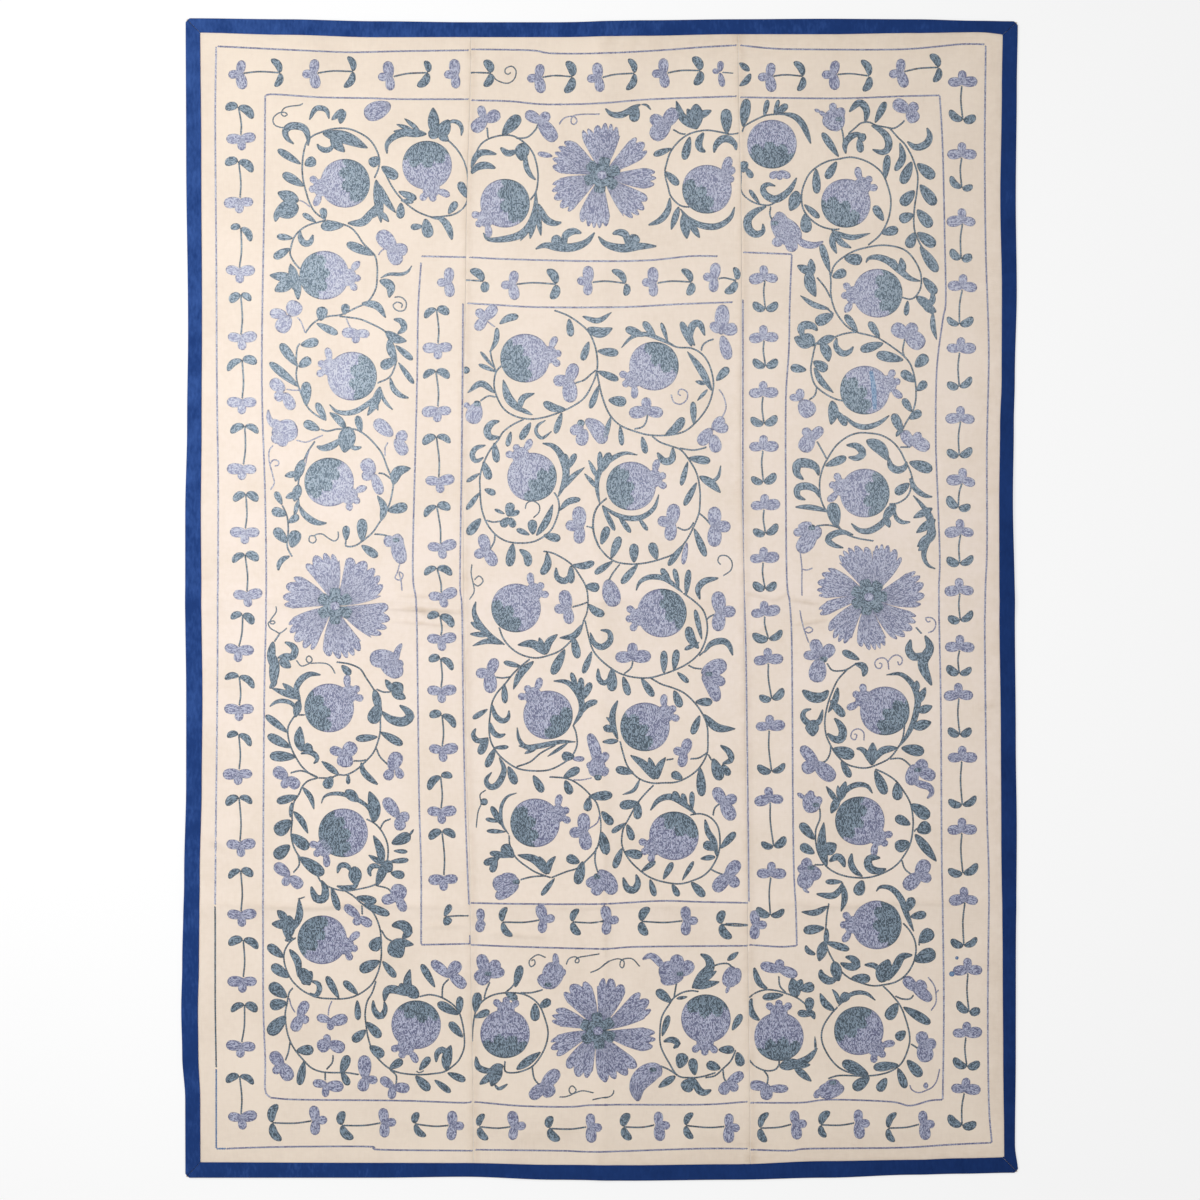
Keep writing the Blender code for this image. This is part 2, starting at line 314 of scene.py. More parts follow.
# %% The hand-woven cream ground
CREAM = linear(238, 223, 213)
CREAM_WARM = linear(237, 221, 202)
CREAM_SHADED = linear(225, 208, 190)
CREAM_SLUB = linear(246, 235, 224)
CREAM_SOILED = linear(196, 172, 146)
ground_finish = Finish("ground_cotton_cream", roughness=0.92, sheen=0.08, specular=0.2)
here = ground_finish.node("TexCoord", {}, "Object")
clouds = ground_finish.noise(here, 9.0, detail=4.0)
mottled = ground_finish.noise(here, 110.0, detail=3.0)
warp_slubs = ground_finish.noise(here, 40.0, detail=3.0, stretch=(22.0, 1.0, 1.0))
weft_slubs = ground_finish.noise(here, 40.0, detail=3.0, stretch=(1.0, 26.0, 1.0))
shade = ground_finish.sum("MULTIPLY_ADD", clouds, 2.2, -1.35)
shade = ground_finish.sum("MULTIPLY_ADD", mottled, 1.1, shade)
_, along, _ = ground_finish.parts(here)
towards_end = ground_finish.sum("MINIMUM", ground_finish.sum("ABSOLUTE", along), 1.0)
tinted = ground_finish.mix(shade, ground_finish.mix(towards_end, CREAM, CREAM_WARM), CREAM_SHADED)
slubs = ground_finish.sum("MULTIPLY", warp_slubs, weft_slubs)
tinted = ground_finish.mix(ground_finish.sum("MULTIPLY", slubs, 0.9), tinted, CREAM_SLUB)
threads = ground_finish.weave(here, 0.0007)
woven = ground_finish.mix(ground_finish.sum("MULTIPLY", threads, 0.10), tinted, CREAM_SHADED)
caught = ground_finish.node("Attribute", {}, "Fac", attribute_name="soil")
patchy = ground_finish.sum("MULTIPLY_ADD", ground_finish.noise(here, 45.0, detail=4.0), 1.3, -0.25)
ground_finish.colour(ground_finish.mix(ground_finish.sum("MULTIPLY", caught, patchy), woven, CREAM_SOILED))
rough_cloth = ground_finish.sum("MULTIPLY_ADD", slubs, 1.4, threads)
crinkles = ground_finish.noise(here, 70.0, detail=3.0, stretch=(0.6, 3.0, 1.0))
crumpled = ground_finish.sum("MULTIPLY", caught, 16.0)
rough_cloth = ground_finish.sum("MULTIPLY_ADD", crinkles, crumpled, rough_cloth)
ground_finish.relief(rough_cloth, 0.00022, 0.7)
print("finish:", ground_finish.material.name)

# %% The blue binding cotton
BLUE = linear(28, 59, 119)
BLUE_WORN_AND_LIT = linear(74, 112, 186)
BLUE_DEEP = linear(10, 38, 88)
blue_finish = Finish("binding_cotton_blue", roughness=0.85, sheen=0.05, specular=0.12)
here = blue_finish.node("TexCoord", {}, "Object")
across, along, _ = blue_finish.parts(here)
# Painted light: the blue is drawn paler towards the upper left and deeper towards the lower right, as the
# light from the left falls on it; the clouds and streaks are its uneven dye and wear.
painted_light = blue_finish.sum("MULTIPLY_ADD", across, -0.30, blue_finish.sum("MULTIPLY_ADD", along, 0.15, -0.07))
cloudy = blue_finish.sum("MULTIPLY_ADD", blue_finish.noise(here, 22.0, detail=6.0), 2.0, -1.0)
streaks = blue_finish.noise(here, 90.0, detail=4.0, stretch=(3.0, 1.0, 1.0))
streaky = blue_finish.sum("MULTIPLY_ADD", streaks, 1.6, -0.8)
uneven = blue_finish.sum("ADD", cloudy, streaky)
paler = blue_finish.sum("MULTIPLY_ADD", uneven, 0.45, painted_light)
dyed_and_lit = blue_finish.mix(blue_finish.sum("MAXIMUM", paler, 0.0), BLUE, BLUE_WORN_AND_LIT)
# Painted shade: the blue is drawn deeper towards the lower right.
deeper = blue_finish.sum("MULTIPLY_ADD", uneven, -0.5, blue_finish.sum("MULTIPLY", painted_light, -1.4))
dyed_and_lit = blue_finish.mix(blue_finish.sum("MAXIMUM", deeper, 0.0), dyed_and_lit, BLUE_DEEP)
threads = blue_finish.weave(here, 0.0006)
blue_finish.colour(blue_finish.mix(blue_finish.sum("MULTIPLY", threads, 0.18), dyed_and_lit, BLUE_DEEP))
blue_finish.relief(blue_finish.sum("MULTIPLY_ADD", streaks, 1.2, threads), 0.0002, 0.8)
print("finish:", blue_finish.material.name)


# %% Silk: one recipe, three dyes
def silk(name, edge, deep, middle, bright, palest):
    """Chain-stitched thread. Each leg of a stitch has its own tone, with painted highlights on some; the
    hollows between its strands and a motif's edge are painted in shadow.
    """
    finish = Finish(name, roughness=0.42, specular=0.6)
    counted = finish.node("Attribute", {}, "Vector", attribute_name="stitching")
    flecks = finish.node("VectorMath", {0: counted, 1: (2.0, 1.6, 1.0)}, operation="MULTIPLY")
    stitch = finish.node("VectorMath", {0: flecks}, operation="FLOOR")
    chance = finish.node("TexWhiteNoise", {"Vector": stitch}, 0, noise_dimensions="3D")
    drawn = finish.node("VectorMath", {0: counted, 1: (1.0, 0.9, 1.0)}, operation="MULTIPLY")
    needleful = finish.node("VectorMath", {0: drawn}, operation="FLOOR")
    luck = finish.node("TexWhiteNoise", {"Vector": needleful}, 0, noise_dimensions="3D")
    row, along, inside = finish.parts(counted)
    row_place = finish.sum("FRACT", row)
    stitch_place = finish.sum("FRACT", along)
    # Painted sheen: where the light would catch the silk, every tone is drawn a step paler.
    painted_sheen = finish.sum("SUBTRACT", inside, 1.0)
    # Painted shadow along a motif's edge, where the rim dips into the cotton.
    rim = finish.sum("MULTIPLY", finish.sum("SUBTRACT", 1.0, inside), 1.4)
    shadowed, dyed_and_lit, lit = (
        finish.mix(painted_sheen, *pair) for pair in ((deep, middle), (middle, bright), (bright, palest))
    )
    off_middle = finish.sum("ABSOLUTE", finish.sum("SUBTRACT", row_place, 0.5))
    loop = finish.sum("SINE", finish.sum("MULTIPLY", stitch_place, 3.14159))
    strand = finish.sum("MULTIPLY", finish.sum("SQRT", finish.sum("MAXIMUM", loop, 0.0)), 0.27)
    off_strand = finish.sum("ABSOLUTE", finish.sum("SUBTRACT", off_middle, strand))
    gap = finish.sum("MULTIPLY", finish.sum("MINIMUM", off_strand, 0.22), 3.2)
    # Painted highlights: random stitches are drawn in the lit tone, as if each caught the light; others are
    # drawn darker, in the shadowed tone.
    favoured = finish.sum("MULTIPLY", chance, finish.sum("MULTIPLY_ADD", luck, 0.7, 0.65))
    shining = finish.sum("MULTIPLY", finish.sum("POWER", favoured, 2.3), 2.0)
    dull = finish.sum("LESS_THAN", favoured, 0.42)
    tone = finish.mix(dull, finish.mix(shining, dyed_and_lit, lit), shadowed)
    # Painted shade in the hollows between the strands of each loop.
    tone = finish.mix(gap, tone, shadowed)
    # Painted shadow at the rim, in the edge tone.
    finish.colour(finish.mix(rim, tone, edge))
    twist = finish.sum("MULTIPLY_ADD", stitch_place, 5.0, finish.sum("MULTIPLY", row_place, 3.0))
    plies = finish.sum("SINE", finish.sum("MULTIPLY", twist, 6.28318))
    rope = finish.sum("MULTIPLY_ADD", plies, 0.12, finish.sum("SUBTRACT", 1.0, gap))
    finish.relief(rope, 0.0005, 0.9)
    return finish.material


LILAC, GREY, SKY = 0, 1, 2
# Each thread's tones: edge for the painted shadow at a motif's edge, deep for the darker stitches and the
# painted shade between strands, middle and bright for the thread and its painted highlights, and palest for
# the painted highlights where the painted sheen is strongest.
THREADS = [
    silk("silk_lilac", *(linear(*tone) for tone in (
        (88, 92, 128), (104, 108, 140), (165, 169, 198), (224, 227, 245), (250, 251, 254),
    ))),
    silk("silk_grey", *(linear(*tone) for tone in (
        (42, 58, 72), (62, 78, 92), (112, 131, 147), (166, 187, 205), (220, 232, 244),
    ))),
    silk("silk_sky", *(linear(*tone) for tone in (
        (66, 96, 140), (86, 118, 162), (122, 156, 196), (170, 196, 222), (216, 230, 242),
    ))),
]
print("threads:", [thread.name for thread in THREADS])


# %% [markdown]
# ## The ground cotton
# Each strip is a grid laid on the underside's relief and given the cotton's thickness. A grid is right
# here because the cloth is smooth and nowhere overhangs. Its columns crowd together at the edges, where
# the seam's ridge is only a few millimetres wide, and at the outer sides it runs on into the fold of the
# binding.

# %% Turning a finished bmesh into a piece
def piece(name, bm, materials, node=None):
    """Makes a bmesh in millimetres an object on the root body, and puts it in a CAD node's place."""
    bmesh.ops.scale(bm, vec=(MM, MM, MM), verts=bm.verts)
    mesh = bpy.data.meshes.new(name)
    bm.to_mesh(mesh)
    bm.free()
    for made in materials:
        mesh.materials.append(made)
    mesh.shade_smooth()
    obj = bpy.data.objects.new(name, mesh)
    bpy.context.scene.collection.objects.link(obj)
    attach(obj, "root")
    if node:
        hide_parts(node)
    return obj


# %% Three strips of ground cotton
CELL = 7.0  # size of the grid's cells
CLEARANCE = 0.05  # between floor and cotton, and between cotton and silk
EDGE_STEPS = [0.0, 1.3, 2.7, 4.2, 6.0]  # columns this far from each side
SEAM_HALF = 0.15  # half the gap between two strips
FINE_CELL = 2.2  # between the rows at the sharp creases
FINE_ROWS = [(-64, 30), (-600, -512)]  # where those are, from and to


def row_shares():
    """Where the grid's rows lie, from 0 at the foot to 1 at the head, closest at the sharp creases."""
    places = [-HALF_LENGTH]
    while places[-1] < HALF_LENGTH - CELL:
        fine = any(low < places[-1] < high for low, high in FINE_ROWS)
        places.append(places[-1] + (FINE_CELL if fine else CELL))
    return (np.array([*places, HALF_LENGTH]) + HALF_LENGTH) / (2 * HALF_LENGTH)


def across_strip(number, y):
    """x of the two sides of a strip."""
    hidden = TUCK + GAP
    starts = [left(y, hidden), seam(1, y) + SEAM_HALF, seam(2, y) + SEAM_HALF]
    ends = [seam(1, y) - SEAM_HALF, seam(2, y) - SEAM_HALF, right(y, hidden)]
    return starts[number], ends[number]


def ground_strip(name, number, node):
    """One strip of the ground: a grid on the underside's relief, then its thickness and its soil."""
    start, end = across_strip(number, np.array(0.0))
    width = float(end - start)
    inner = np.linspace(EDGE_STEPS[-1], width - EDGE_STEPS[-1], round(width / CELL))[1:-1]
    offsets = np.array([*EDGE_STEPS, *inner, *[width - step for step in reversed(EDGE_STEPS)]]) / width
    rows = row_shares()
    bm = bmesh.new()
    bmesh.ops.create_grid(bm, x_segments=len(offsets) - 1, y_segments=len(rows) - 1, size=0.5)
    flat = np.array([vertex.co[:2] for vertex in bm.verts]) + 0.5
    share = offsets[np.rint(flat[:, 0] * (len(offsets) - 1)).astype(int)]
    up = rows[np.rint(flat[:, 1] * (len(rows) - 1)).astype(int)]
    y = (up * 2 - 1) * HALF_LENGTH
    for _ in range(2):  # the ends depend on x, and the sides on y
        start, end = across_strip(number, y)
        x = start + share * (end - start)
        low, high = bottom(x, TUCK + GAP), top(x, TUCK + GAP)
        y = low + up * (high - low)
    z = underside(x, y) + CLEARANCE
    for vertex, *place in zip(bm.verts, x, y, z):
        vertex.co = place
    upper = bmesh.ops.extrude_face_region(bm, geom=list(bm.faces))["geom"]
    moved = [part for part in upper if isinstance(part, bmesh.types.BMVert)]
    bmesh.ops.translate(bm, vec=(0.0, 0.0, GROUND), verts=moved)
    bmesh.ops.recalc_face_normals(bm, faces=bm.faces)
    strip = piece(name, bm, [ground_finish.material], node)
    places = np.array([vertex.co[:2] for vertex in strip.data.vertices]) / MM
    caught = soil(places[:, 0], places[:, 1])
    strip.data.attributes.new("soil", "FLOAT", "POINT").data.foreach_set("value", caught)


STRIP_NAMES = ("left", "middle", "right")

for number, side in enumerate(STRIP_NAMES):
    ground_strip(f"ground_{side}", number, f"panel_{side}")

# %% [markdown]
# ## The blue binding
# A strip of cotton folded lengthwise over the edge and mitred at the corners. Its folded section is
# carried along the side, station by station, on a grid whose two long sides are then merged to close the
# section. The fold itself is round, the top leaf is drawn down a little where the hem stitching holds it,
# and small ripples along the strip keep it from looking like a moulding.

# %% The folded section
FOLD_ARC = 5  # steps in each quarter of the fold
FOLD_REACH = 1.9  # how far the round of the fold reaches in


def folded_section(width):
    """The binding's section as (inset from the outer edge, height), open towards the cloth."""
    turn = np.linspace(np.pi / 2, -np.pi / 2, 2 * FOLD_ARC + 1)
    fold = [(FOLD_REACH * (1 - np.cos(a)), STACK / 2 * (1 - np.sin(a))) for a in turn]
    upper = [(width * 0.3, STACK + 0.10), (width * 0.62, STACK + 0.06), (width - 2.6, STACK - 0.16)]
    lip = [(width - 0.5, STACK - 0.04), (width, STACK - 0.35), (width, STACK - LEAF)]
    inner = [(2.6, STACK - LEAF), (1.6, STACK / 2), (2.6, LEAF), (width, LEAF)]
    return [(width, 0.0), *fold, *upper, *lip, *inner]


print("points in the folded section:", len(folded_section(26.0)))


# %% Four mitred strips
STATION = 8.0  # between two stations of a long strip
END_STATIONS = 180  # in the bottom or the top strip
RIPPLE = 0.10  # height of the ripples along a strip


def corner(side, end, side_inset, end_inset):
    """Where a side meets the bottom or top, each taken in by its inset."""
    x = side(end(0.0), side_inset)
    y = end(x, end_inset)
    return np.array([side(y, side_inset), y])


def binding_strip(name, node, along_side, tips, turns):
    """tips and turns hold (outer, inner) points at the two ends; along_side(share) gives them between."""
    lengthwise = abs(tips[1][0][1] - tips[0][0][1]) > HALF_LENGTH
    count = round(2 * HALF_LENGTH / STATION) if lengthwise else END_STATIONS
    between = [along_side(k / count) for k in range(count + 1)]
    stations = [tips[0], turns[0], *between, turns[1], tips[1]]
    ring = len(folded_section(26.0))
    bm = bmesh.new()
    bmesh.ops.create_grid(bm, x_segments=ring, y_segments=len(stations) - 1, size=0.5)
    sections = []
    for number, (outer, inner) in enumerate(stations):
        width = float(np.hypot(*(inner - outer)))
        base = float(lift(*((outer + inner) / 2)))
        ripple = RIPPLE * np.sin(number * 0.9) * np.sin(number * 0.23 + 1.0)
        points = []
        for inset, height in folded_section(width):
            flat = outer + (inner - outer) * inset / width
            top_leaf = max(0.0, (height - STACK / 2) / STACK)
            points.append((*flat, base + height + ripple * top_leaf * np.sin(3.1 * inset / width)))
        sections.append(points)
    for vertex in bm.verts:
        column = round((vertex.co.x + 0.5) * ring) % ring
        row = round((vertex.co.y + 0.5) * (len(stations) - 1))
        vertex.co = sections[row][column]
    bmesh.ops.remove_doubles(bm, verts=bm.verts, dist=0.01)
    bmesh.ops.holes_fill(bm, edges=[edge for edge in bm.edges if edge.is_boundary])
    bmesh.ops.recalc_face_normals(bm, faces=bm.faces)
    strip = piece(name, bm, [blue_finish.material], node)
    print(name, len(strip.data.polygons), "faces")


def side_strip(name, node, side, table):
    """The left or the right strip, bottom to top."""
    tips, turns = [], []
    for end, end_table, sign in ((bottom, BOTTOM_EDGE, -1), (top, TOP_EDGE, 1)):
        width = float(eased(table, sign * HALF_LENGTH, 2))
        end_width = float(eased(end_table, side(end(0.0)), 2))
        away = np.array([0.0, -sign * GAP])
        outer = corner(side, end, CORNER_CUT, CORNER_CUT) + away
        inner = corner(side, end, width, end_width) + away
        y = end(side(end(0.0)), CORNER)
        tips.append((outer, inner))
        turns.append((np.array([side(y), y]), inner + away))

    def along_side(share):
        outer_y = turns[0][0][1] + share * (turns[1][0][1] - turns[0][0][1])
        inner_y = turns[0][1][1] + share * (turns[1][1][1] - turns[0][1][1])
        trim = 0.3 * (1 - 2 * share)
        outer = np.array([side(outer_y), outer_y + trim])
        inner = np.array([side(inner_y, eased(table, inner_y, 2)), inner_y + trim])
        return outer, inner

    binding_strip(name, node, along_side, tips, turns)


def end_strip(name, node, end, table):
    """The bottom or the top strip, left to right."""
    tips, turns = [], []
    for side, side_table, sign in ((left, LEFT_EDGE, -1), (right, RIGHT_EDGE, 1)):
        side_width = float(eased(side_table, end(0.0), 2))
        width = float(eased(table, side(end(0.0)), 2))
        away = np.array([-sign * GAP, 0.0])
        outer = corner(side, end, CORNER_CUT, CORNER_CUT) + away
        inner = corner(side, end, side_width, width) + away
        x = side(end(0.0), CORNER)
        tips.append((outer, inner))
        turns.append((np.array([x, end(x)]), inner + away))

    def along_side(share):
        outer_x = turns[0][0][0] + share * (turns[1][0][0] - turns[0][0][0])
        inner_x = turns[0][1][0] + share * (turns[1][1][0] - turns[0][1][0])
        trim = 0.3 * (1 - 2 * share)
        outer = np.array([outer_x + trim, end(outer_x)])
        inner = np.array([inner_x + trim, end(inner_x, eased(table, inner_x, 2))])
        return outer, inner

    binding_strip(name, node, along_side, tips, turns)


side_strip("edge_left", "binding_left", left, LEFT_EDGE)
side_strip("edge_right", "binding_right", right, RIGHT_EDGE)
end_strip("edge_bottom", "binding_bottom", bottom, BOTTOM_EDGE)
end_strip("edge_top", "binding_top", top, TOP_EDGE)

# %% [markdown]
# ## Chain stitch
# Chain stitch is a row of small loops, and a filled shape is many rows side by side. The needlework is so
# regular that one recipe serves for all of it: a grid with two columns of faces to a row and one face to a
# stitch, bent to the motif's shape by a function `place(across, along)`. The middle of each row is its
# crest, the rim sinks into the cloth, and each vertex remembers its row and stitch for the silk, and a
# third number that is 0 at the rim, for the painted shadow there, and 1 and the silk's painted sheen
# inside.

# %% The stitcher
ROW = 2.6  # width of a row
STITCH = 4.0  # length of a chain
TALL = 0.62  # height of a crest
BURIED = 0.15  # how far a patch's rim sinks into the cotton
BETWEEN_ROWS = 0.55  # height there, as a share of a crest
BETWEEN_LINKS = 0.8
NEXT_PATCH, FIRST_AGAIN = 41, 4099  # patches count on from far apart, so that no two have the same flecks
# Painted sheen: where the silk is drawn palest, as if the light caught it most there, and how far that
# reaches.
SHEEN_PLACE, SHEEN_REACH = (-560.0, 400.0), (330.0, 500.0)
needlework = {}  # (strip, kind of work) -> bmesh
patches = []


def painted_sheen_at(x, y):
    """Painted sheen: the silk is drawn palest on the upper left of the cloth, where light catches it, and
    deepest towards its foot.
    """
    high_up = np.exp(-(((y - SHEEN_PLACE[1]) / SHEEN_REACH[1]) ** 2))
    at_left = np.exp(-(((x - SHEEN_PLACE[0]) / SHEEN_REACH[0]) ** 2))
    return 0.98 * high_up * (0.6 + 0.4 * at_left)


def workpiece(strip, work):
    """The bmesh that collects one kind of work on one strip of the ground."""
    if (strip, work) not in needlework:
        needlework[strip, work] = bmesh.new()
        needlework[strip, work].verts.layers.float_vector.new("stitching")
    return needlework[strip, work]


def embroider(work, place, rows, stitches, thread, second=None, raised=0.0, steps=1):
    """Lays one patch. second(x, y) is true where a second thread takes over; raised lies on other work."""
    rows, stitches = max(1, round(rows)), steps * max(2, round(stitches))
    grid = bmesh.new()
    bmesh.ops.create_grid(grid, x_segments=2 * rows, y_segments=stitches, size=0.5)
    flat = np.array([vertex.co[:2] for vertex in grid.verts]) + 0.5
    grid.free()
    column, step = np.rint(flat[:, 0] * 2 * rows), np.rint(flat[:, 1] * stitches)
    x, y = place(column / (2 * rows), step / stitches)
    strip = int(x.mean() > seam(1, y.mean())) + int(x.mean() > seam(2, y.mean()))
    crest = np.where(column % 2 == 1, 1.0, BETWEEN_ROWS) * (0.92 + 0.08 * np.sin(2.3 * column + 1.7 * step))
    rim = (column == 0) | (column == 2 * rows) | (step == 0) | (step == stitches)
    crest *= np.where(step % steps == 0, BETWEEN_LINKS, 1.0) if steps > 1 else 1.0
    z = np.where(rim, -BURIED, raised + TALL * crest)
    first, last = across_strip(strip, y)
    beyond = (x < first) | (x > last)
    x = np.clip(x, first, last)
    bm = workpiece(strip, work)
    layer = bm.verts.layers.float_vector["stitching"]
    made = bmesh.ops.create_grid(bm, x_segments=2 * rows, y_segments=stitches, size=0.5)["verts"]
    start = (NEXT_PATCH * len(patches)) % FIRST_AGAIN
    # The patch's painted sheen, from where it lies on the cloth, carried in the third number.
    painted_sheen = float(painted_sheen_at(x.mean(), y.mean()))
    inside = np.where(rim, 0.0, 1.0 + painted_sheen)
    counted = zip(column / 2 + start, step / steps + start, inside)
    for vertex, *co, count in zip(made, x, y, z, counted):
        vertex.co = co
        vertex[layer] = count
    faces = {face for vertex in made for face in vertex.link_faces}
    for face in faces:
        face.material_index = thread
    if second:
        for face in faces:
            middle = face.calc_center_median()
            if second(middle.x, middle.y):
                face.material_index = GREY
    if beyond.any():
        lost = {vertex for vertex, gone in zip(made, beyond) if gone}
        doomed = [face for face in faces if all(vertex in lost for vertex in face.verts)]
        bmesh.ops.delete(bm, geom=doomed, context="FACES")
    patches.append((work, rows * stitches // steps))


print("in 100 mm:", round(100 / ROW), "rows or", round(100 / STITCH), "stitches")

# %% [markdown]
# ## Where things are
# The layout was read off a photograph of the cloth laid out flat. Its tables below keep the photograph's
# pixels, which are easy to check, and `at` turns them into millimetres on the cloth from the known length.

# %% From the photograph's pixels to the cloth
PIXEL = 1.7234  # millimetres, from 2000 mm of cloth in 1160.5 pixels
MIDDLE_X, MIDDLE_Y = 599.75, 599.5  # the cloth's middle in the photograph


def at(pixel_x, pixel_y):
    return np.array([(pixel_x - MIDDLE_X) * PIXEL, (MIDDLE_Y - pixel_y) * PIXEL])


def heading(degrees):
    """A unit step: 0 is to the right in the photograph, 90 up."""
    turn = np.radians(degrees)
    return np.array([np.cos(turn), np.sin(turn)])


print("the photograph's corner is at", at(0, 0), "mm")

# %% [markdown]
# ## Shapes made of rows
# Nearly every motif is a band: a middle line with a width that changes along it. A stem is a band one row
# wide, a leaf or petal is a band that swells and closes again. Only the fruits are discs, and only the
# rosettes are fans. Middle lines are smooth curves through two to ten given points.

# %% Smooth lines and bands
def smooth_line(points):
    """A smooth curve through points, as a function that gives places and sideways steps at shares of it."""
    points = np.array(points, float)
    if len(points) == 2:
        points = np.array([points[0], points.mean(0), points[1]])
    guide = np.vstack([2 * points[0] - points[1], points, 2 * points[-1] - points[-2]])
    t = np.linspace(0, 1, 13)[:-1, None]
    runs = []
    for a, b, c, d in zip(guide, guide[1:], guide[2:], guide[3:]):
        runs.append(b + 0.5 * t * (c - a + t * (2 * a - 5 * b + 4 * c - d + t * (3 * (b - c) + d - a))))
    line = np.vstack([*runs, points[-1:]])
    reached = np.concatenate([[0.0], np.cumsum(np.hypot(*np.diff(line, axis=0).T))])
    ahead = np.gradient(line, reached, axis=0)
    ahead /= np.hypot(*ahead.T)[:, None]

    def walk(share):
        here = share * reached[-1]
        x, y = (np.interp(here, reached, line[:, k]) for k in (0, 1))
        step_x, step_y = (np.interp(here, reached, ahead[:, k]) for k in (0, 1))
        return x, y, -step_y, step_x

    return walk, float(reached[-1])


def band(work, points, half_width, thread, raised=0.0):
    """Rows laid beside each other along a line; half_width(along) is in millimetres."""
    walk, length = smooth_line(points)
    widest = float(half_width(np.linspace(0, 1, 21)).max())

    def place(across, along):
        x, y, side_x, side_y = walk(along)
        off = (2 * across - 1) * half_width(along)
        return x + side_x * off, y + side_y * off

    embroider(work, place, max(1, 2 * widest / ROW), length / STITCH, thread, raised=raised)


def stem(work, points, thread=GREY, width=4.3):
    """One row of chain stitch. Each link is widest at its middle."""
    walk, length = smooth_line(points)
    links = max(2, round(length / STITCH))

    def place(across, along):
        x, y, side_x, side_y = walk(along)
        off = (across - 0.5) * width * (0.76 + 0.24 * np.abs(np.sin(np.pi * links * along)))
        return x + side_x * off, y + side_y * off

    embroider(work, place, 1, links, thread, steps=2)


def swelling(width, belly=0.6, blunt=0.6, stalk=1.2):
    """A half width that opens from a stalk, is widest at the belly's share of the length, and closes."""
    power = np.log(0.5) / np.log(belly)

    def half_width(along):
        return np.maximum(width / 2 * np.sin(np.pi * along**power).clip(0) ** blunt, stalk / 2)

    return half_width


def leaf(work, base, tip, width, thread=GREY, bend=0.0, belly=0.6, blunt=0.6):
    """A leaf or petal from base to tip; bend is how far its middle lies to the left, as a share."""
    base, tip = np.array(base, float), np.array(tip, float)
    along = tip - base
    middle = (base + tip) / 2 + bend * np.array([-along[1], along[0]])
    band(work, [base, middle, tip], swelling(width, belly, blunt), thread)


def disc(work, middle, radius, thread, raised=0.0, second=None):
    """A round patch of straight rows: a square grid drawn to a round outline."""

    def place(across, along):
        a, b = 2 * across - 1, 2 * along - 1
        off_x, off_y = a * np.sqrt(1 - b * b / 2), b * np.sqrt(1 - a * a / 2)
        return middle[0] + radius * off_x, middle[1] + radius * off_y

    embroider(work, place, 1.8 * radius / ROW, 2 * radius / STITCH, thread, second, raised)


quarter_ring = [40.0 * heading(turn) for turn in (0, 30, 60, 90)]
print("a quarter of a 40 mm ring measures", round(smooth_line(quarter_ring)[1], 1), "mm")

# %% [markdown]
# ## Small flowers
# The guard borders repeat one sprig: a flower with three lobes, a short stem, and two leaves folded back
# beside its end. The same flower sits on the vines of the fields. Each lobe is a broad petal from the
# flower's middle, so the three overlap there and the heart looks full.

# %% A three-lobed flower and the border sprig
LOBES = ((0, 21.5, 14.5), (-1, 29, 17), (1, 29, 17))  # side, length, width
SPRIG_FLOWER = 1.08  # size of a sprig's flower


def trefoil(work, middle, turn, size):
    """The middle lobe points in the direction turn; the other two, longer and broader, stand across it."""
    uneven = np.sin(0.11 * middle[0] + 0.07 * middle[1])  # no two flowers are quite the same
    for side, length, width in LOBES:
        ahead = heading(turn + side * (94 + 8 * uneven) + (0 if side else 12 * uneven))
        base = middle - ahead * 4.5 * size + heading(turn + 180) * (2.5 * size if side else 0.0)
        grown = size * (1 + 0.09 * side * uneven)
        leaf(work, base, base + ahead * length * grown, width * grown, LILAC, belly=0.58, blunt=0.42)


def sprig(flower, leaves):
    """Works a sprig from the middles of its flower and two leaves, which droop as they leave the stem."""
    between = (leaves[0] + leaves[1]) / 2
    run = between - flower
    ahead = run / float(np.hypot(*run))
    joint = between + ahead * 7.5
    turn = float(np.degrees(np.arctan2(-ahead[1], -ahead[0])))
    stem("sprigs", [flower + ahead * 9.0, (flower + joint) / 2 + ahead[::-1] * 2.5, joint])
    for number, middle in enumerate(leaves):
        out = middle - joint
        droop = -0.16 * np.sign(ahead[0] * out[1] - ahead[1] * out[0])
        broad = 14.5 + 2.0 * np.sin(0.09 * middle[0] - 0.13 * middle[1] + 2.0 * number)
        leaf("sprigs", joint, joint + 1.85 * out, broad, GREY, droop, 0.5, 0.5)
    trefoil("sprigs", flower, turn, SPRIG_FLOWER)


print("a sprig's flower is", round(2 * LOBES[1][1] * SPRIG_FLOWER), "mm across at most")

# %% [markdown]
# ## Pomegranates
# The fruit is a disc filled with rows and worked in two threads, the dark one over somewhat less than half
# of it with a scalloped front. Its crown is a short neck with three lobes, and on most fruits one outer
# lobe is much the longest. The disc's grid keeps rows almost straight, as they are on the cloth.

# %% A fruit and its crown
FRUIT_RADIUS = 43.0
FRONT_CURVE = 1.1  # radius of the dark part's front, in fruit radii
SCALLOP = 0.27  # depth of its scallops
SCALLOP_TURN = 0.46  # how far apart they are along the front, in radians


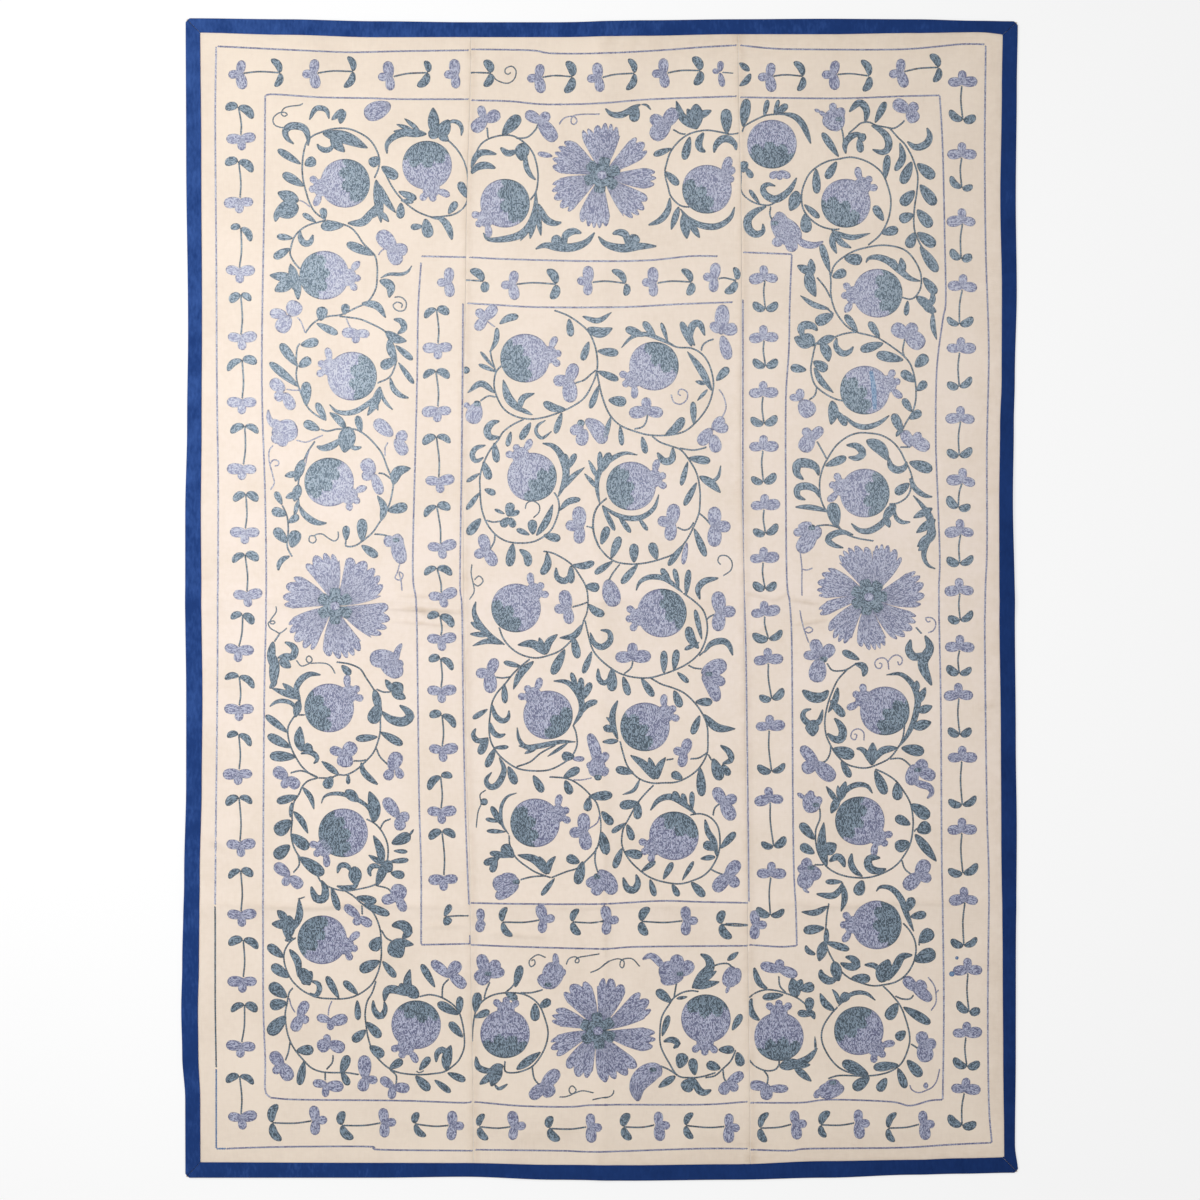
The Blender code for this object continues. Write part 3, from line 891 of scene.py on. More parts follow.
def pomegranate(middle, crown, long_side, dark, front, blunt=0.42):
    """crown and dark are directions, long_side tells the long outer lobe, front is where the dark ends."""
    toward, beside = heading(dark), heading(dark + 90)

    def in_dark(x, y):
        off = (np.array([x, y]) - middle) / FRUIT_RADIUS
        along, across = front + FRONT_CURVE - off @ toward, off @ beside
        turn = np.arctan2(across, along)
        bulge = SCALLOP * abs(np.sin(np.pi * turn / SCALLOP_TURN + dark)) ** 0.7
        return np.hypot(along, across) < FRONT_CURVE + bulge

    disc("fruits", middle, FRUIT_RADIUS, LILAC, second=in_dark)
    if crown is None:
        return
    out = heading(crown)
    neck = [middle + out * FRUIT_RADIUS * share for share in (0.66, 1.34)]
    band("fruits", neck, swelling(FRUIT_RADIUS * 0.72, 0.4, 0.4), LILAC)
    for side in (-1, 0, 1):
        reach = 0.44 if side == 0 else 0.66 if side == long_side else 0.48
        ahead = heading(crown + side * (60 if side == long_side else 50))
        base = middle + out * FRUIT_RADIUS * 1.06 + heading(crown + 90) * FRUIT_RADIUS * 0.12 * side
        tip = base + ahead * reach * FRUIT_RADIUS
        leaf("fruits", base, tip, FRUIT_RADIUS * 0.31, LILAC, 0.08 * side, 0.62, blunt)


print("a fruit is", round(2 * FRUIT_RADIUS), "mm across, in", round(1.8 * FRUIT_RADIUS / ROW), "rows")

# %% [markdown]
# ## Rosettes
# Four great rosettes stand in the middle of the four sides, each with six to nine fan-shaped petals round
# a dark heart. A petal's rows run outwards, and their different lengths give its end the rounded fingers.
# The petals are drawn free hand, each of another width, and lean a little as they leave the heart, so
# every one is listed: its direction, its spread, its reach in pixels and how many fingers it has.

# %% A rosette
PETAL_START = 19.0  # from the rosette's middle
CLOSING = 4.6  # degrees by which a petal is wider at the heart, where it meets its neighbours
FINGER_DEPTH = 0.15  # of the petal's reach


def fan_petal(middle, turn, spread, reach, fingers, lean):
    """One petal. turn is its tip's direction, spread its full angle and lean its sweep, all in degrees."""

    def place(across, along):
        uneven = across + 0.05 * np.sin(2 * np.pi * across + turn)
        lobe = np.abs(np.sin(np.pi * fingers * uneven)) ** 0.6
        shoulder = 1.0 - 0.10 * np.abs(2 * across - 1) ** 2.5
        tip = reach * shoulder - FINGER_DEPTH * reach * (1 - lobe) * along**2
        out = PETAL_START + along * (tip - PETAL_START)
        half = np.radians(spread / 2 + CLOSING * (1 - (out / reach) ** 2))
        angle = np.radians(turn + lean * (out / reach - 1)) + (1 - 2 * across) * half
        return middle[0] + out * np.cos(angle), middle[1] + out * np.sin(angle)

    widest = 2 * reach * np.radians(spread / 2)
    embroider("fruits", place, widest / ROW * 0.8, (reach - PETAL_START) / STITCH, LILAC)


def rosette(middle, petals, lean, hearts, heart_turn):
    """The petals, then the heart's lobes, and on them a ring and a lilac button, each a little higher."""
    for turn, spread, reach, fingers in petals:
        fan_petal(middle, turn, spread, reach * PIXEL, fingers, lean)
    for k in range(hearts):
        ahead = heading(heart_turn + 360 / hearts * k)
        lobe = swelling(21.0, 0.64, 0.4)
        band("fruits", [middle + ahead * 6, middle + ahead * 34], lobe, GREY, raised=0.3)

    def ring(across, along):
        out = 7.0 + 14.0 * across
        return middle[0] + out * np.cos(2 * np.pi * along), middle[1] + out * np.sin(2 * np.pi * along)

    embroider("fruits", ring, 5, 18, GREY, raised=0.45)
    disc("fruits", middle, 9.0, LILAC, 0.5)


print("a petal's rows start", PETAL_START, "mm from the rosette's middle")

# %% Fruits and rosettes on the cloth
POINTED = 0.8  # how much less full than a round one a crown's lobe is
FRUITS = [  # pixel x and y, crown, side of its long lobe, dark part's direction, its front in radii, tips
    (525, 358, 8, 1, 205, 0.08), (654, 366, 212, 1, 48, 0.28), (532, 477, 118, -1, 320, 0.25),
    (631, 486, 18, 1, 190, 0.12), (516, 608, 42, 1, 222, 0.36), (662, 613, 190, 0, 25, 0.28),
    (548, 715, 128, -1, 322, 0.42), (645, 727, 33, 1, 215, 0.15), (535, 823, 22, 1, 200, 0.20),
    (674, 836, 208, 0, 62, 0.32), (345, 183, 190, 1, 18, 0.08), (427, 165, 280, 1, 96, 0.14),
    (505, 203, 218, 1, 18, 0.02), (707, 189, None, 0, 222, 0.26), (772, 144, None, 0, 266, 0.16),
    (324, 275, 355, 1, 178, 0.04, POINTED), (352, 376, 158, -1, 352, 0.14),
    (329, 482, 326, 1, 142, 0.0, POINTED), (329, 708, 35, 1, 202, 0.24), (343, 833, 218, 1, 196, -0.04),
    (322, 940, 345, 1, 150, 0.2), (416, 1025, 245, 1, 78, 0.38), (505, 1034, 88, 0, 270, 0.28),
    (706, 1019, 268, 0, 86, 0.3), (779, 1037, 90, 0, 274, 0.3), (859, 1031, 315, 1, 132, 0.16),
    (846, 203, 46, 1, 240, 0.18), (878, 293, 184, 1, 8, 0.12, POINTED), (865, 390, 15, -1, 212, 0.18),
    (865, 493, 166, 1, 352, 0.22), (885, 711, 150, 1, 322, 0.2), (860, 821, 318, -1, 158, 0.06),
    (877, 925, 180, 1, 8, 0.1),
]
ROSETTES = [  # pixel x, pixel y, lean, lobes of the heart, direction of the first, petals
    (602, 175, 5, 6, 20, [
        (84, 33, 53, 4), (110, 17, 50, 2), (154, 46, 53, 5), (208, 43, 54, 5), (261, 39, 54, 5),
        (-42, 37, 55, 4), (-3, 25, 55, 3), (38, 27, 54, 3),
    ]),
    (335, 606, 10, 6, 30, [
        (108, 41, 55, 4), (46, 63, 55, 5), (-17, 43, 57, 4), (-78, 50, 54, 5), (-138, 47, 54, 5),
        (163, 42, 54, 4),
    ]),
    (869, 597, 12, 7, 2, [
        (111, 42, 54, 5), (68, 36, 56, 5), (12, 43, 57, 5), (-38, 40, 55, 5), (-84, 36, 54, 5),
        (-128, 33, 55, 4), (197, 15, 53, 2), (163, 39, 54, 5),
    ]),
    (598, 1031, 8, 6, 35, [
        (74, 35, 55, 3), (32, 29, 60, 3), (-9, 27, 59, 3), (-50, 26, 55, 2), (-76, 24, 53, 2),
        (244, 38, 51, 3), (202, 26, 51, 3), (161, 26, 49, 3), (119, 37, 54, 3),
    ]),
]

for pixel_x, pixel_y, *look in FRUITS:
    pomegranate(at(pixel_x, pixel_y), *look)
new_skein = [at(871, 369), at(874, 390), at(875, 411)]  # where one fruit's thread ran out
band("fruits", new_skein, swelling(10.0, 0.5, 0.2), SKY, raised=0.25)
for pixel_x, pixel_y, lean, hearts, heart_turn, petals in ROSETTES:
    rosette(at(pixel_x, pixel_y), petals, lean, hearts, heart_turn)
print(len(FRUITS), "fruits and", len(ROSETTES), "rosettes")

# %% [markdown]
# ## Guard borders
# Single rows of lilac frame the fields, and between them the sprigs march round the cloth. Each table
# keeps one row of sprigs: the flower, then its two leaves.

# %% Sprigs
SPRIG_ROWS = {
    "outer left": [
        (241, 140, 231, 108, 246, 113), (240, 203, 231, 163, 246, 167), (239, 273, 235, 228, 246, 235),
        (241, 340, 235, 299, 246, 298), (242, 404, 234, 366, 250, 362), (243, 470, 237, 430, 252, 430),
        (245, 534, 239, 498, 252, 498), (247, 597, 238, 559, 252, 558), (238, 652, 236, 617, 248, 620),
        (239, 711, 231, 678, 247, 683), (239, 775, 232, 736, 245, 741), (240, 847, 232, 802, 246, 801),
        (241, 917, 234, 875, 247, 874), (243, 983, 235, 943, 251, 945), (241, 1048, 237, 1009, 251, 1009),
        (241, 1120, 232, 1080, 247, 1081),
    ],
    "inner left": [
        (438, 349, 430, 314, 443, 312), (438, 412, 429, 375, 443, 375), (439, 483, 429, 441, 444, 440),
        (441, 549, 430, 512, 444, 508), (442, 598, 430, 572, 445, 572), (441, 641, 433, 617, 447, 622),
        (441, 693, 434, 660, 447, 665), (442, 752, 435, 716, 449, 722), (441, 814, 434, 784, 447, 777),
        (444, 881, 435, 836, 449, 835),
    ],
    "inner right": [
        (765, 275, 759, 305, 772, 305), (764, 335, 759, 362, 772, 362), (763, 391, 757, 420, 771, 419),
        (763, 445, 757, 479, 770, 477), (764, 504, 759, 531, 772, 528), (763, 557, 759, 585, 771, 585),
        (764, 611, 760, 636, 776, 634), (768, 658, 765, 697, 778, 693), (769, 725, 764, 768, 779, 767),
        (770, 797, 767, 844, 780, 841), (771, 872, 763, 911, 778, 912),
    ],
    "outer right": [
        (962, 80, 956, 114, 970, 117), (962, 152, 956, 181, 968, 186), (963, 218, 956, 253, 967, 256),
        (963, 284, 953, 320, 967, 320), (960, 347, 953, 384, 966, 381), (961, 416, 953, 452, 966, 451),
        (963, 478, 953, 501, 965, 506), (961, 529, 953, 560, 967, 559), (960, 588, 954, 618, 967, 615),
        (960, 645, 953, 669, 966, 670), (959, 693, 954, 731, 966, 731), (962, 756, 955, 802, 970, 800),
        (962, 828, 955, 871, 971, 868), (965, 897, 957, 942, 971, 941), (968, 968, 963, 1006, 975, 1010),
        (966, 1032, 960, 1062, 974, 1064), (965, 1088, 955, 1120, 970, 1124),
    ],
    "outer top": [
        (238, 73, 275, 65, 277, 80), (312, 73, 350, 63, 348, 80), (388, 77, 426, 66, 422, 80),
        (454, 75, 487, 66, 487, 80), (537, 77, 569, 68, 568, 85), (597, 78, 631, 65, 630, 82),
        (662, 73, 696, 63, 697, 78), (768, 76, 798, 68, 800, 84), (832, 74, 865, 67, 866, 84),
        (899, 72, 934, 60, 936, 75),
    ],
    "inner top": [
        (447, 282, 476, 275, 483, 287), (511, 284, 551, 276, 553, 292), (587, 282, 618, 276, 625, 290),
        (652, 283, 686, 275, 689, 289), (713, 278, 735, 273, 730, 287),
    ],
    "inner bottom": [
        (545, 920, 505, 914, 508, 930), (609, 921, 576, 915, 577, 929), (688, 921, 646, 914, 645, 929),
        (757, 925, 723, 917, 727, 932),
    ],
    "outer bottom": [
        (317, 1121, 275, 1113, 277, 1133), (386, 1123, 343, 1118, 348, 1133),
        (454, 1126, 417, 1118, 421, 1131), (516, 1127, 482, 1120, 484, 1134),
        (592, 1127, 551, 1122, 555, 1135), (660, 1125, 627, 1120, 628, 1134),
        (730, 1127, 690, 1119, 690, 1133), (797, 1124, 765, 1120, 764, 1136),
        (860, 1123, 826, 1118, 824, 1132), (925, 1124, 893, 1120, 892, 1136),
    ],
}

for rows in SPRIG_ROWS.values():
    for flower_x, flower_y, x0, y0, x1, y1 in rows:
        sprig(at(flower_x, flower_y), (at(x0, y0), at(x1, y1)))
print(sum(len(rows) for rows in SPRIG_ROWS.values()), "sprigs")

# %% Guard lines, single rows of chain stitch
GUARD_LINES = [  # thread, then pixel x and y of each point
    (LILAC, 217, 46, 300, 50, 350, 52, 400, 51, 469, 50),
    (LILAC, 471, 49, 530, 50, 552, 53, 600, 53, 660, 50, 700, 47, 737, 45),
    (LILAC, 740, 45, 770, 48, 800, 49, 900, 49, 960, 44, 985, 44),
    (LILAC, 986, 45, 985, 150, 986, 250, 989, 350, 987, 450, 987, 550, 985, 620, 987, 800, 989, 880,
     988, 1000, 989, 1100, 992, 1143),
    (LILAC, 216, 46, 215, 120, 216, 250, 217, 400, 218, 500, 217, 700, 216, 800, 215, 905),
    (GREY, 215, 906, 215, 1000, 216, 1068),
    (SKY, 216, 1069, 216, 1149),
    (SKY, 216, 1149, 226, 1149),
    (LILAC, 226, 1149, 250, 1148, 300, 1147, 370, 1147, 380, 1150, 473, 1151),
    (LILAC, 475, 1150, 560, 1151, 600, 1152, 700, 1149, 748, 1149),
    (LILAC, 750, 1150, 790, 1151, 810, 1149, 900, 1148, 950, 1145, 992, 1143),
    (LILAC, 265, 95, 275, 94, 320, 97, 370, 98, 400, 99, 469, 99),
    (LILAC, 471, 100, 510, 101, 545, 104, 600, 103, 650, 99, 737, 96),
    (LILAC, 740, 97, 800, 98, 850, 98, 900, 96, 940, 95),
    (LILAC, 940, 95, 943, 150, 945, 240, 946, 300, 943, 320, 937, 370, 936, 440, 938, 500, 940, 560,
     939, 600, 941, 700, 942, 860, 944, 1000, 943, 1100),
    (LILAC, 265, 95, 264, 200, 262, 320, 262, 400, 265, 500, 266, 600, 264, 700, 263, 880, 263, 1000,
     265, 1060, 265, 1090, 270, 1098),
    (LILAC, 270, 1098, 300, 1100, 400, 1101, 460, 1103, 472, 1102),
    (LILAC, 474, 1102, 520, 1106, 570, 1107, 600, 1105, 700, 1105, 748, 1102),
    (LILAC, 750, 1103, 800, 1103, 830, 1100, 890, 1102, 910, 1106, 930, 1101, 943, 1100),
    (LILAC, 421, 256, 467, 257),
    (LILAC, 469, 257, 510, 259, 595, 261, 650, 260, 690, 256, 718, 256),
    (LILAC, 743, 252, 792, 254),
    (LILAC, 792, 254, 790, 300, 789, 350, 786, 400, 786, 500, 787, 580, 790, 605, 792, 650, 793, 800,
     794, 870, 796, 910, 797, 946),
    (LILAC, 421, 262, 418, 310, 417, 380, 415, 460, 413, 540, 413, 580, 416, 600, 417, 640, 418, 720,
     419, 800, 421, 870, 421, 945),
    (LILAC, 421, 945, 470, 944),
    (LILAC, 470, 945, 520, 947, 600, 949, 640, 947, 748, 946),
    (LILAC, 749, 945, 780, 947, 797, 946),
    (LILAC, 467, 303, 500, 305, 540, 307, 620, 307, 680, 304, 733, 302),
    (LILAC, 463, 303, 462, 420, 461, 500, 460, 560, 460, 590, 462, 610, 463, 700, 465, 800, 467, 860,
     469, 905),
    (LILAC, 470, 935, 470, 945),
    (LILAC, 743, 299, 743, 400, 743, 520, 744, 590, 746, 650, 748, 800, 749, 902),
    (LILAC, 470, 903, 520, 904, 600, 904, 660, 901, 700, 902, 749, 903),
]


def line_through(numbers):
    """Places on the cloth from a plain row of pixel x, y, x, y and so on."""
    return [at(*pair) for pair in zip(numbers[::2], numbers[1::2])]


for thread, *numbers in GUARD_LINES:
    stem("lines", line_through(numbers), thread, width=4.2)
print(len(GUARD_LINES), "guard lines")

# %% [markdown]
# ## Vines, leaves and flowers of the fields
# One vine runs round every border and through the middle, and circles each fruit in turn. It carries round
# leaves, pointed leaves, heavy scrolls, thin curls and three-petalled flowers. A suzani maker draws these
# free hand, no two the same, so each stretch keeps a list of where its own ones lie: for a leaf its base,
# its tip, its width and how many hundredths of its length it bends to the left; for a line its points.

# %% Working one stretch of vine
def lay_out(plan):
    """Works everything in one stretch's table; widths there are pixels, like the places."""
    before = len(patches)
    for numbers in plan["stems"]:
        stem("vines", line_through(numbers))
    for kind, work, thread, belly, blunt in (
        ("paddles", "vines", GREY, 0.62, 0.42),  # round leaves
        ("blades", "vines", GREY, 0.45, 0.75),  # pointed leaves
        ("petals", "flowers", LILAC, 0.58, 0.40),
    ):
        for x0, y0, x1, y1, width, *bend in plan[kind]:
            turn = bend[0] / 100 if bend else 0.0
            leaf(work, at(x0, y0), at(x1, y1), width * PIXEL, thread, turn, belly, blunt)
    for width, *numbers in plan["scrolls"]:
        band("vines", line_through(numbers), swelling(width * PIXEL, 0.5, 0.6, 2.2), GREY)
    for width, *numbers in plan.get("lilac scrolls", []):
        band("flowers", line_through(numbers), swelling(width * PIXEL, 0.4, 0.6, 2.2), LILAC)
    for thread, *numbers in plan["curls"]:
        stem("vines" if thread == GREY else "flowers", line_through(numbers), thread, width=3.3)
    for x, y, turn, size in plan.get("trefoils", []):
        trefoil("flowers", at(x, y), turn, size)
    for x, y in plan.get("hearts", []):
        disc("flowers", at(x, y), 4.0 * PIXEL, GREY, 0.32)
    for x, y, radius in plan.get("sky spots", []):
        disc("flowers", at(x, y), radius * PIXEL, SKY, 0.32)
    print(len(patches) - before, "patches")


# %% The middle field
MIDDLE_FIELD = {
    "stems": [
        (554, 310, 567, 315, 578, 322, 588, 331, 594, 343, 597, 356, 597, 370, 592, 385, 584, 398,
         573, 406, 560, 412, 545, 417, 530, 419, 515, 416, 504, 409, 497, 397, 494, 385, 496, 372,
         503, 364), (496, 372, 492, 360, 490, 350), (496, 397, 488, 396, 480, 401),
        (524, 419, 512, 425, 503, 432, 498, 440, 490, 450, 484, 462, 480, 476, 480, 490, 481, 505,
         484, 517, 489, 527, 496, 535, 506, 541, 518, 543, 532, 542, 543, 537, 551, 530, 556, 520,
         559, 509, 558, 499, 554, 492), (486, 520, 493, 522, 501, 521), (495, 534, 494, 542, 490, 549),
        (575, 383, 584, 380, 590, 375, 596, 370), (597, 372, 600, 388, 604, 402, 610, 415, 620, 425,
         634, 431, 650, 435, 669, 435, 685, 431, 698, 420, 708, 406, 713, 390, 713, 378, 709, 364,
         702, 354, 691, 348, 677, 347, 662, 340), (701, 351, 703, 345, 708, 341, 714, 339),
        (679, 448, 692, 450, 700, 449, 707, 447), (648, 413, 646, 422, 642, 427, 634, 429),
        (652, 436, 660, 442, 671, 446, 681, 450, 690, 461, 697, 474, 700, 490, 700, 503, 699, 513,
         694, 526, 686, 541, 675, 553, 661, 559, 645, 563, 629, 564, 614, 561, 603, 552, 596, 540,
         593, 526, 595, 512, 600, 504, 607, 498), (620, 564, 613, 573, 608, 582),
        (677, 527, 684, 530, 690, 528, 694, 522), (711, 525, 705, 518, 699, 513),
        (543, 551, 555, 554, 571, 564, 580, 576, 586, 587, 588, 600, 587, 612, 584, 620, 579, 633,
         570, 642, 561, 650, 550, 655, 536, 658, 522, 655, 511, 648, 503, 638, 499, 627),
        (572, 607, 580, 605, 588, 602), (586, 526, 593, 528), (683, 593, 694, 601, 703, 610, 707, 622,
         707, 634, 703, 647, 697, 656, 687, 664, 675, 670, 661, 675, 648, 678, 632, 677, 619, 673,
         608, 666, 598, 657, 592, 648, 588, 634, 585, 620), (706, 620, 711, 616, 717, 614),
        (530, 659, 520, 667, 512, 675, 505, 684, 497, 693, 492, 703, 490, 716, 489, 729, 491, 742,
         498, 754, 508, 763, 519, 769, 534, 771, 549, 770, 562, 764, 572, 756, 577, 745, 576, 733,
         573, 725), (494, 677, 502, 678, 510, 677), (516, 767, 530, 762, 541, 753, 556, 745),
        (549, 777, 563, 778, 573, 781, 583, 788, 591, 796, 597, 804, 600, 815, 601, 826, 600, 838,
         596, 850, 588, 859, 578, 868, 566, 872, 551, 878),
        (509, 835, 510, 846, 516, 858, 527, 867, 537, 873, 551, 878), (546, 876, 532, 877, 520, 880),
        (596, 848, 595, 861, 598, 873), (690, 815, 701, 814, 711, 818, 718, 827, 720, 839, 719, 852,
         714, 864, 706, 874, 695, 880, 680, 884, 663, 882, 649, 877, 637, 868, 628, 858, 622, 845,
         623, 830, 628, 820, 637, 804, 646, 793, 654, 785), (649, 677, 661, 684, 673, 688, 684, 693,
         694, 702, 702, 713, 707, 725, 708, 740, 707, 754, 700, 767, 690, 776, 677, 782, 664, 783,
         651, 783, 638, 778, 628, 767, 623, 753, 620, 741), (690, 759, 699, 758, 707, 753),
        (666, 760, 674, 759), (633, 660, 631, 668, 624, 674), (688, 665, 694, 668, 702, 669),
        (708, 754, 712, 761), (713, 816, 715, 808, 721, 803), (710, 869, 718, 873, 727, 876),
        (699, 656, 706, 650),
    ],
    "paddles": [
        (499, 324, 519, 316, 8, 10), (490, 352, 497, 327, 6, -10), (569, 318, 571, 337, 8),
        (589, 341, 582, 361, 8), (597, 351, 619, 353, 9), (597, 371, 619, 380, 8),
        (599, 385, 590, 409, 7), (566, 409, 543, 402, 9, 10), (562, 412, 555, 434, 7),
        (531, 422, 520, 440, 8), (511, 431, 507, 447, 6), (494, 442, 497, 463, 8),
        (483, 461, 490, 480, 9), (484, 489, 496, 494, 7), (481, 518, 467, 535, 10),
        (480, 473, 466, 482, 5), (480, 492, 466, 510, 6), (559, 511, 581, 499, 7, 15),
        (543, 535, 561, 539, 9), (513, 543, 509, 567, 10), (519, 549, 528, 567, 9, 20),
        (508, 517, 511, 502, 10), (508, 516, 520, 511, 6), (509, 517, 501, 527, 9),
        (510, 517, 514, 528, 8), (505, 514, 494, 509, 4), (692, 347, 681, 321, 8),
        (716, 381, 729, 367, 9), (694, 425, 693, 401, 7), (665, 435, 684, 417, 10, -10),
        (608, 400, 627, 402, 11), (611, 416, 604, 440, 6), (620, 425, 622, 446, 6),
        (642, 436, 646, 454, 7), (688, 461, 681, 486, 6), (688, 458, 711, 461, 9),
        (697, 482, 684, 506, 7), (694, 528, 706, 557, 8), (684, 544, 668, 566, 7),
        (601, 545, 608, 526, 9), (611, 559, 620, 536, 9), (634, 563, 634, 543, 10),
        (657, 560, 651, 542, 10), (638, 564, 621, 584, 8), (613, 561, 594, 574, 7),
        (602, 505, 615, 531, 6), (618, 515, 631, 533, 6), (638, 517, 648, 531, 5),
        (547, 552, 541, 575, 9, 15), (571, 565, 571, 584, 8), (572, 565, 595, 562, 8, -10),
        (585, 586, 600, 588, 10), (588, 604, 605, 615, 9, -10), (702, 640, 695, 609, 6),
        (699, 649, 688, 626, 10, 10), (700, 642, 684, 650, 5), (565, 649, 552, 675, 10),
        (573, 636, 578, 659, 9), (592, 651, 583, 674, 7), (522, 667, 503, 662, 6),
        (504, 683, 505, 704, 7), (488, 709, 472, 719, 6), (488, 737, 479, 755, 9),
        (495, 748, 486, 768, 8), (493, 748, 509, 747, 5), (575, 757, 561, 756, 10),
        (508, 766, 516, 785, 9), (533, 775, 543, 793, 9), (563, 778, 580, 768, 9),
        (565, 780, 571, 795, 9), (588, 797, 613, 795, 10), (589, 797, 587, 812, 9),
        (601, 811, 613, 825, 9), (601, 831, 607, 855, 11), (514, 858, 502, 845, 12),
        (500, 858, 483, 864, 8), (497, 859, 491, 873, 8), (512, 857, 489, 853, 7),
        (580, 863, 566, 857, 10), (583, 861, 577, 885, 11), (555, 878, 541, 896, 6),
        (612, 668, 612, 692, 11), (664, 674, 664, 650, 8), (674, 671, 677, 649, 8),
        (677, 672, 689, 683, 6), (623, 676, 629, 696, 8), (641, 678, 654, 697, 8),
        (674, 690, 681, 708, 9), (695, 702, 713, 702, 9), (700, 715, 692, 735, 8),
        (634, 773, 615, 769, 9), (683, 779, 671, 773, 9), (700, 767, 702, 797, 10),
        (713, 758, 721, 781, 12), (722, 764, 730, 776, 8), (640, 803, 619, 806, 10),
        (639, 803, 637, 820, 9), (626, 823, 611, 833, 6), (627, 824, 633, 841, 8),
        (622, 848, 614, 869, 8), (624, 852, 643, 856, 10), (641, 872, 656, 861, 6),
        (663, 880, 673, 862, 7), (682, 881, 694, 861, 5), (650, 879, 655, 897, 7),
        (672, 884, 679, 897, 7), (691, 882, 705, 897, 9), (720, 849, 736, 832, 8),
        (716, 850, 703, 843, 10), (502, 826, 491, 806, 7), (506, 832, 486, 831, 5),
        (500, 822, 485, 819, 5), (616, 731, 603, 727, 8), (583, 700, 591, 682, 8),
        (581, 698, 581, 677, 7), (578, 692, 571, 672, 6), (581, 714, 598, 701, 7, 15),
        (671, 583, 661, 568, 7), (679, 588, 674, 568, 6), (686, 596, 689, 569, 7),
        (645, 336, 625, 328, 9), (656, 338, 643, 321, 8), (668, 342, 661, 322, 5),
        (600, 476, 600, 451, 6), (602, 472, 610, 452, 9), (681, 803, 673, 791, 7),
        (687, 806, 682, 793, 6), (692, 811, 692, 791, 6), (566, 470, 565, 453, 7),
        (567, 470, 576, 453, 7), (533, 535, 532, 519, 10), (530, 535, 516, 529, 6),
        (497, 372, 478, 364, 5), (494, 368, 480, 351, 4),
    ],
    "blades": [
        (582, 316, 612, 312, 6, -22), (587, 328, 613, 328, 11, -18), (495, 393, 467, 393, 7, -34),
        (522, 412, 503, 379, 9, 12), (519, 411, 535, 393, 7, 24), (516, 407, 533, 415, 5),
        (598, 479, 588, 459, 5), (598, 489, 584, 473, 5), (562, 490, 585, 467, 6, 6),
        (699, 476, 721, 493, 9, 6), (712, 391, 687, 351, 8, -4), (708, 389, 697, 401, 4),
        (706, 384, 695, 381, 5), (536, 536, 553, 504, 8, -6), (583, 624, 559, 638, 7, 20),
        (504, 644, 472, 646, 6, -12), (485, 630, 470, 622, 7), (490, 635, 469, 634, 6),
        (546, 655, 517, 645, 9, -20), (545, 654, 528, 640, 7), (544, 653, 539, 637, 7),
        (546, 655, 558, 634, 8, 16), (534, 661, 513, 690, 8, -10), (530, 747, 518, 746, 4),
        (538, 747, 524, 754, 5), (568, 743, 547, 757, 4), (619, 741, 602, 742, 6),
        (614, 724, 606, 717, 4), (655, 780, 630, 755, 9, -8), (655, 780, 649, 757, 9),
        (657, 780, 666, 757, 8, 10), (547, 875, 517, 855, 9, -16), (547, 875, 539, 856, 9),
        (548, 875, 556, 856, 7, 14), (640, 779, 622, 795, 4, 18), (703, 714, 736, 729, 9, -18),
        (716, 857, 700, 859, 6),
    ],
    "scrolls": [  # width, then the points of the line
        (8, 500, 421, 492, 423, 487, 430, 490, 437, 500, 437),
        (6, 486, 445, 476, 448, 472, 455, 476, 461, 484, 457),
        (4, 546, 420, 538, 425, 536, 432, 542, 438, 552, 431),
        (8, 542, 443, 553, 446, 561, 455, 566, 470, 564, 483, 558, 497),
        (8, 695, 346, 690, 336, 693, 325, 700, 324, 705, 336),
        (5, 677, 347, 660, 339, 645, 334, 632, 337, 621, 348),
        (6, 600, 505, 597, 488, 598, 476, 603, 466, 613, 458, 625, 453, 638, 455),
        (6, 602, 505, 613, 513, 627, 518, 642, 517, 654, 508, 659, 494),
        (4, 699, 476, 710, 481, 718, 477, 721, 465), (8, 673, 447, 672, 459, 664, 461, 657, 452),
        (7, 556, 567, 557, 577, 564, 581, 570, 576, 570, 567),
        (6, 683, 593, 673, 584, 663, 578, 650, 577, 640, 582, 636, 591),
        (7, 700, 600, 698, 589, 705, 581, 719, 578),
        (7, 505, 645, 490, 636, 479, 624, 474, 612, 476, 601),
        (7, 590, 632, 594, 643, 602, 647, 610, 641, 609, 632, 600, 630),
        (6, 492, 704, 495, 715, 502, 721, 508, 718, 509, 710),
        (6, 490, 722, 493, 732, 499, 736, 506, 734), (6, 488, 738, 478, 741, 473, 735, 476, 728),
        (6, 576, 742, 560, 742, 540, 746, 526, 747, 519, 739, 517, 727),
        (7, 499, 757, 504, 770, 498, 784, 490, 787, 486, 780, 492, 772),
        (7, 573, 726, 581, 712, 581, 700, 575, 689, 566, 682, 553, 681),
        (4, 509, 835, 502, 824, 501, 808, 507, 797, 517, 793),
        (6, 598, 668, 599, 679, 605, 683, 612, 675),
        (7, 704, 653, 711, 644, 722, 641, 729, 645, 733, 656),
        (7, 618, 740, 613, 725, 613, 712, 618, 700), (7, 722, 764, 731, 760, 729, 752, 720, 745),
        (7, 697, 815, 684, 804, 671, 797, 659, 800, 650, 811),
        (8, 623, 877, 627, 888, 634, 890, 638, 883, 636, 874),
        (7, 717, 857, 714, 842, 708, 832, 705, 819),
    ],
    "curls": [  # thread, then the points
        (GREY, 533, 518, 539, 512, 539, 505, 533, 501, 527, 503, 525, 509),
        (GREY, 472, 564, 471, 573, 473, 583, 474, 592, 469, 600),
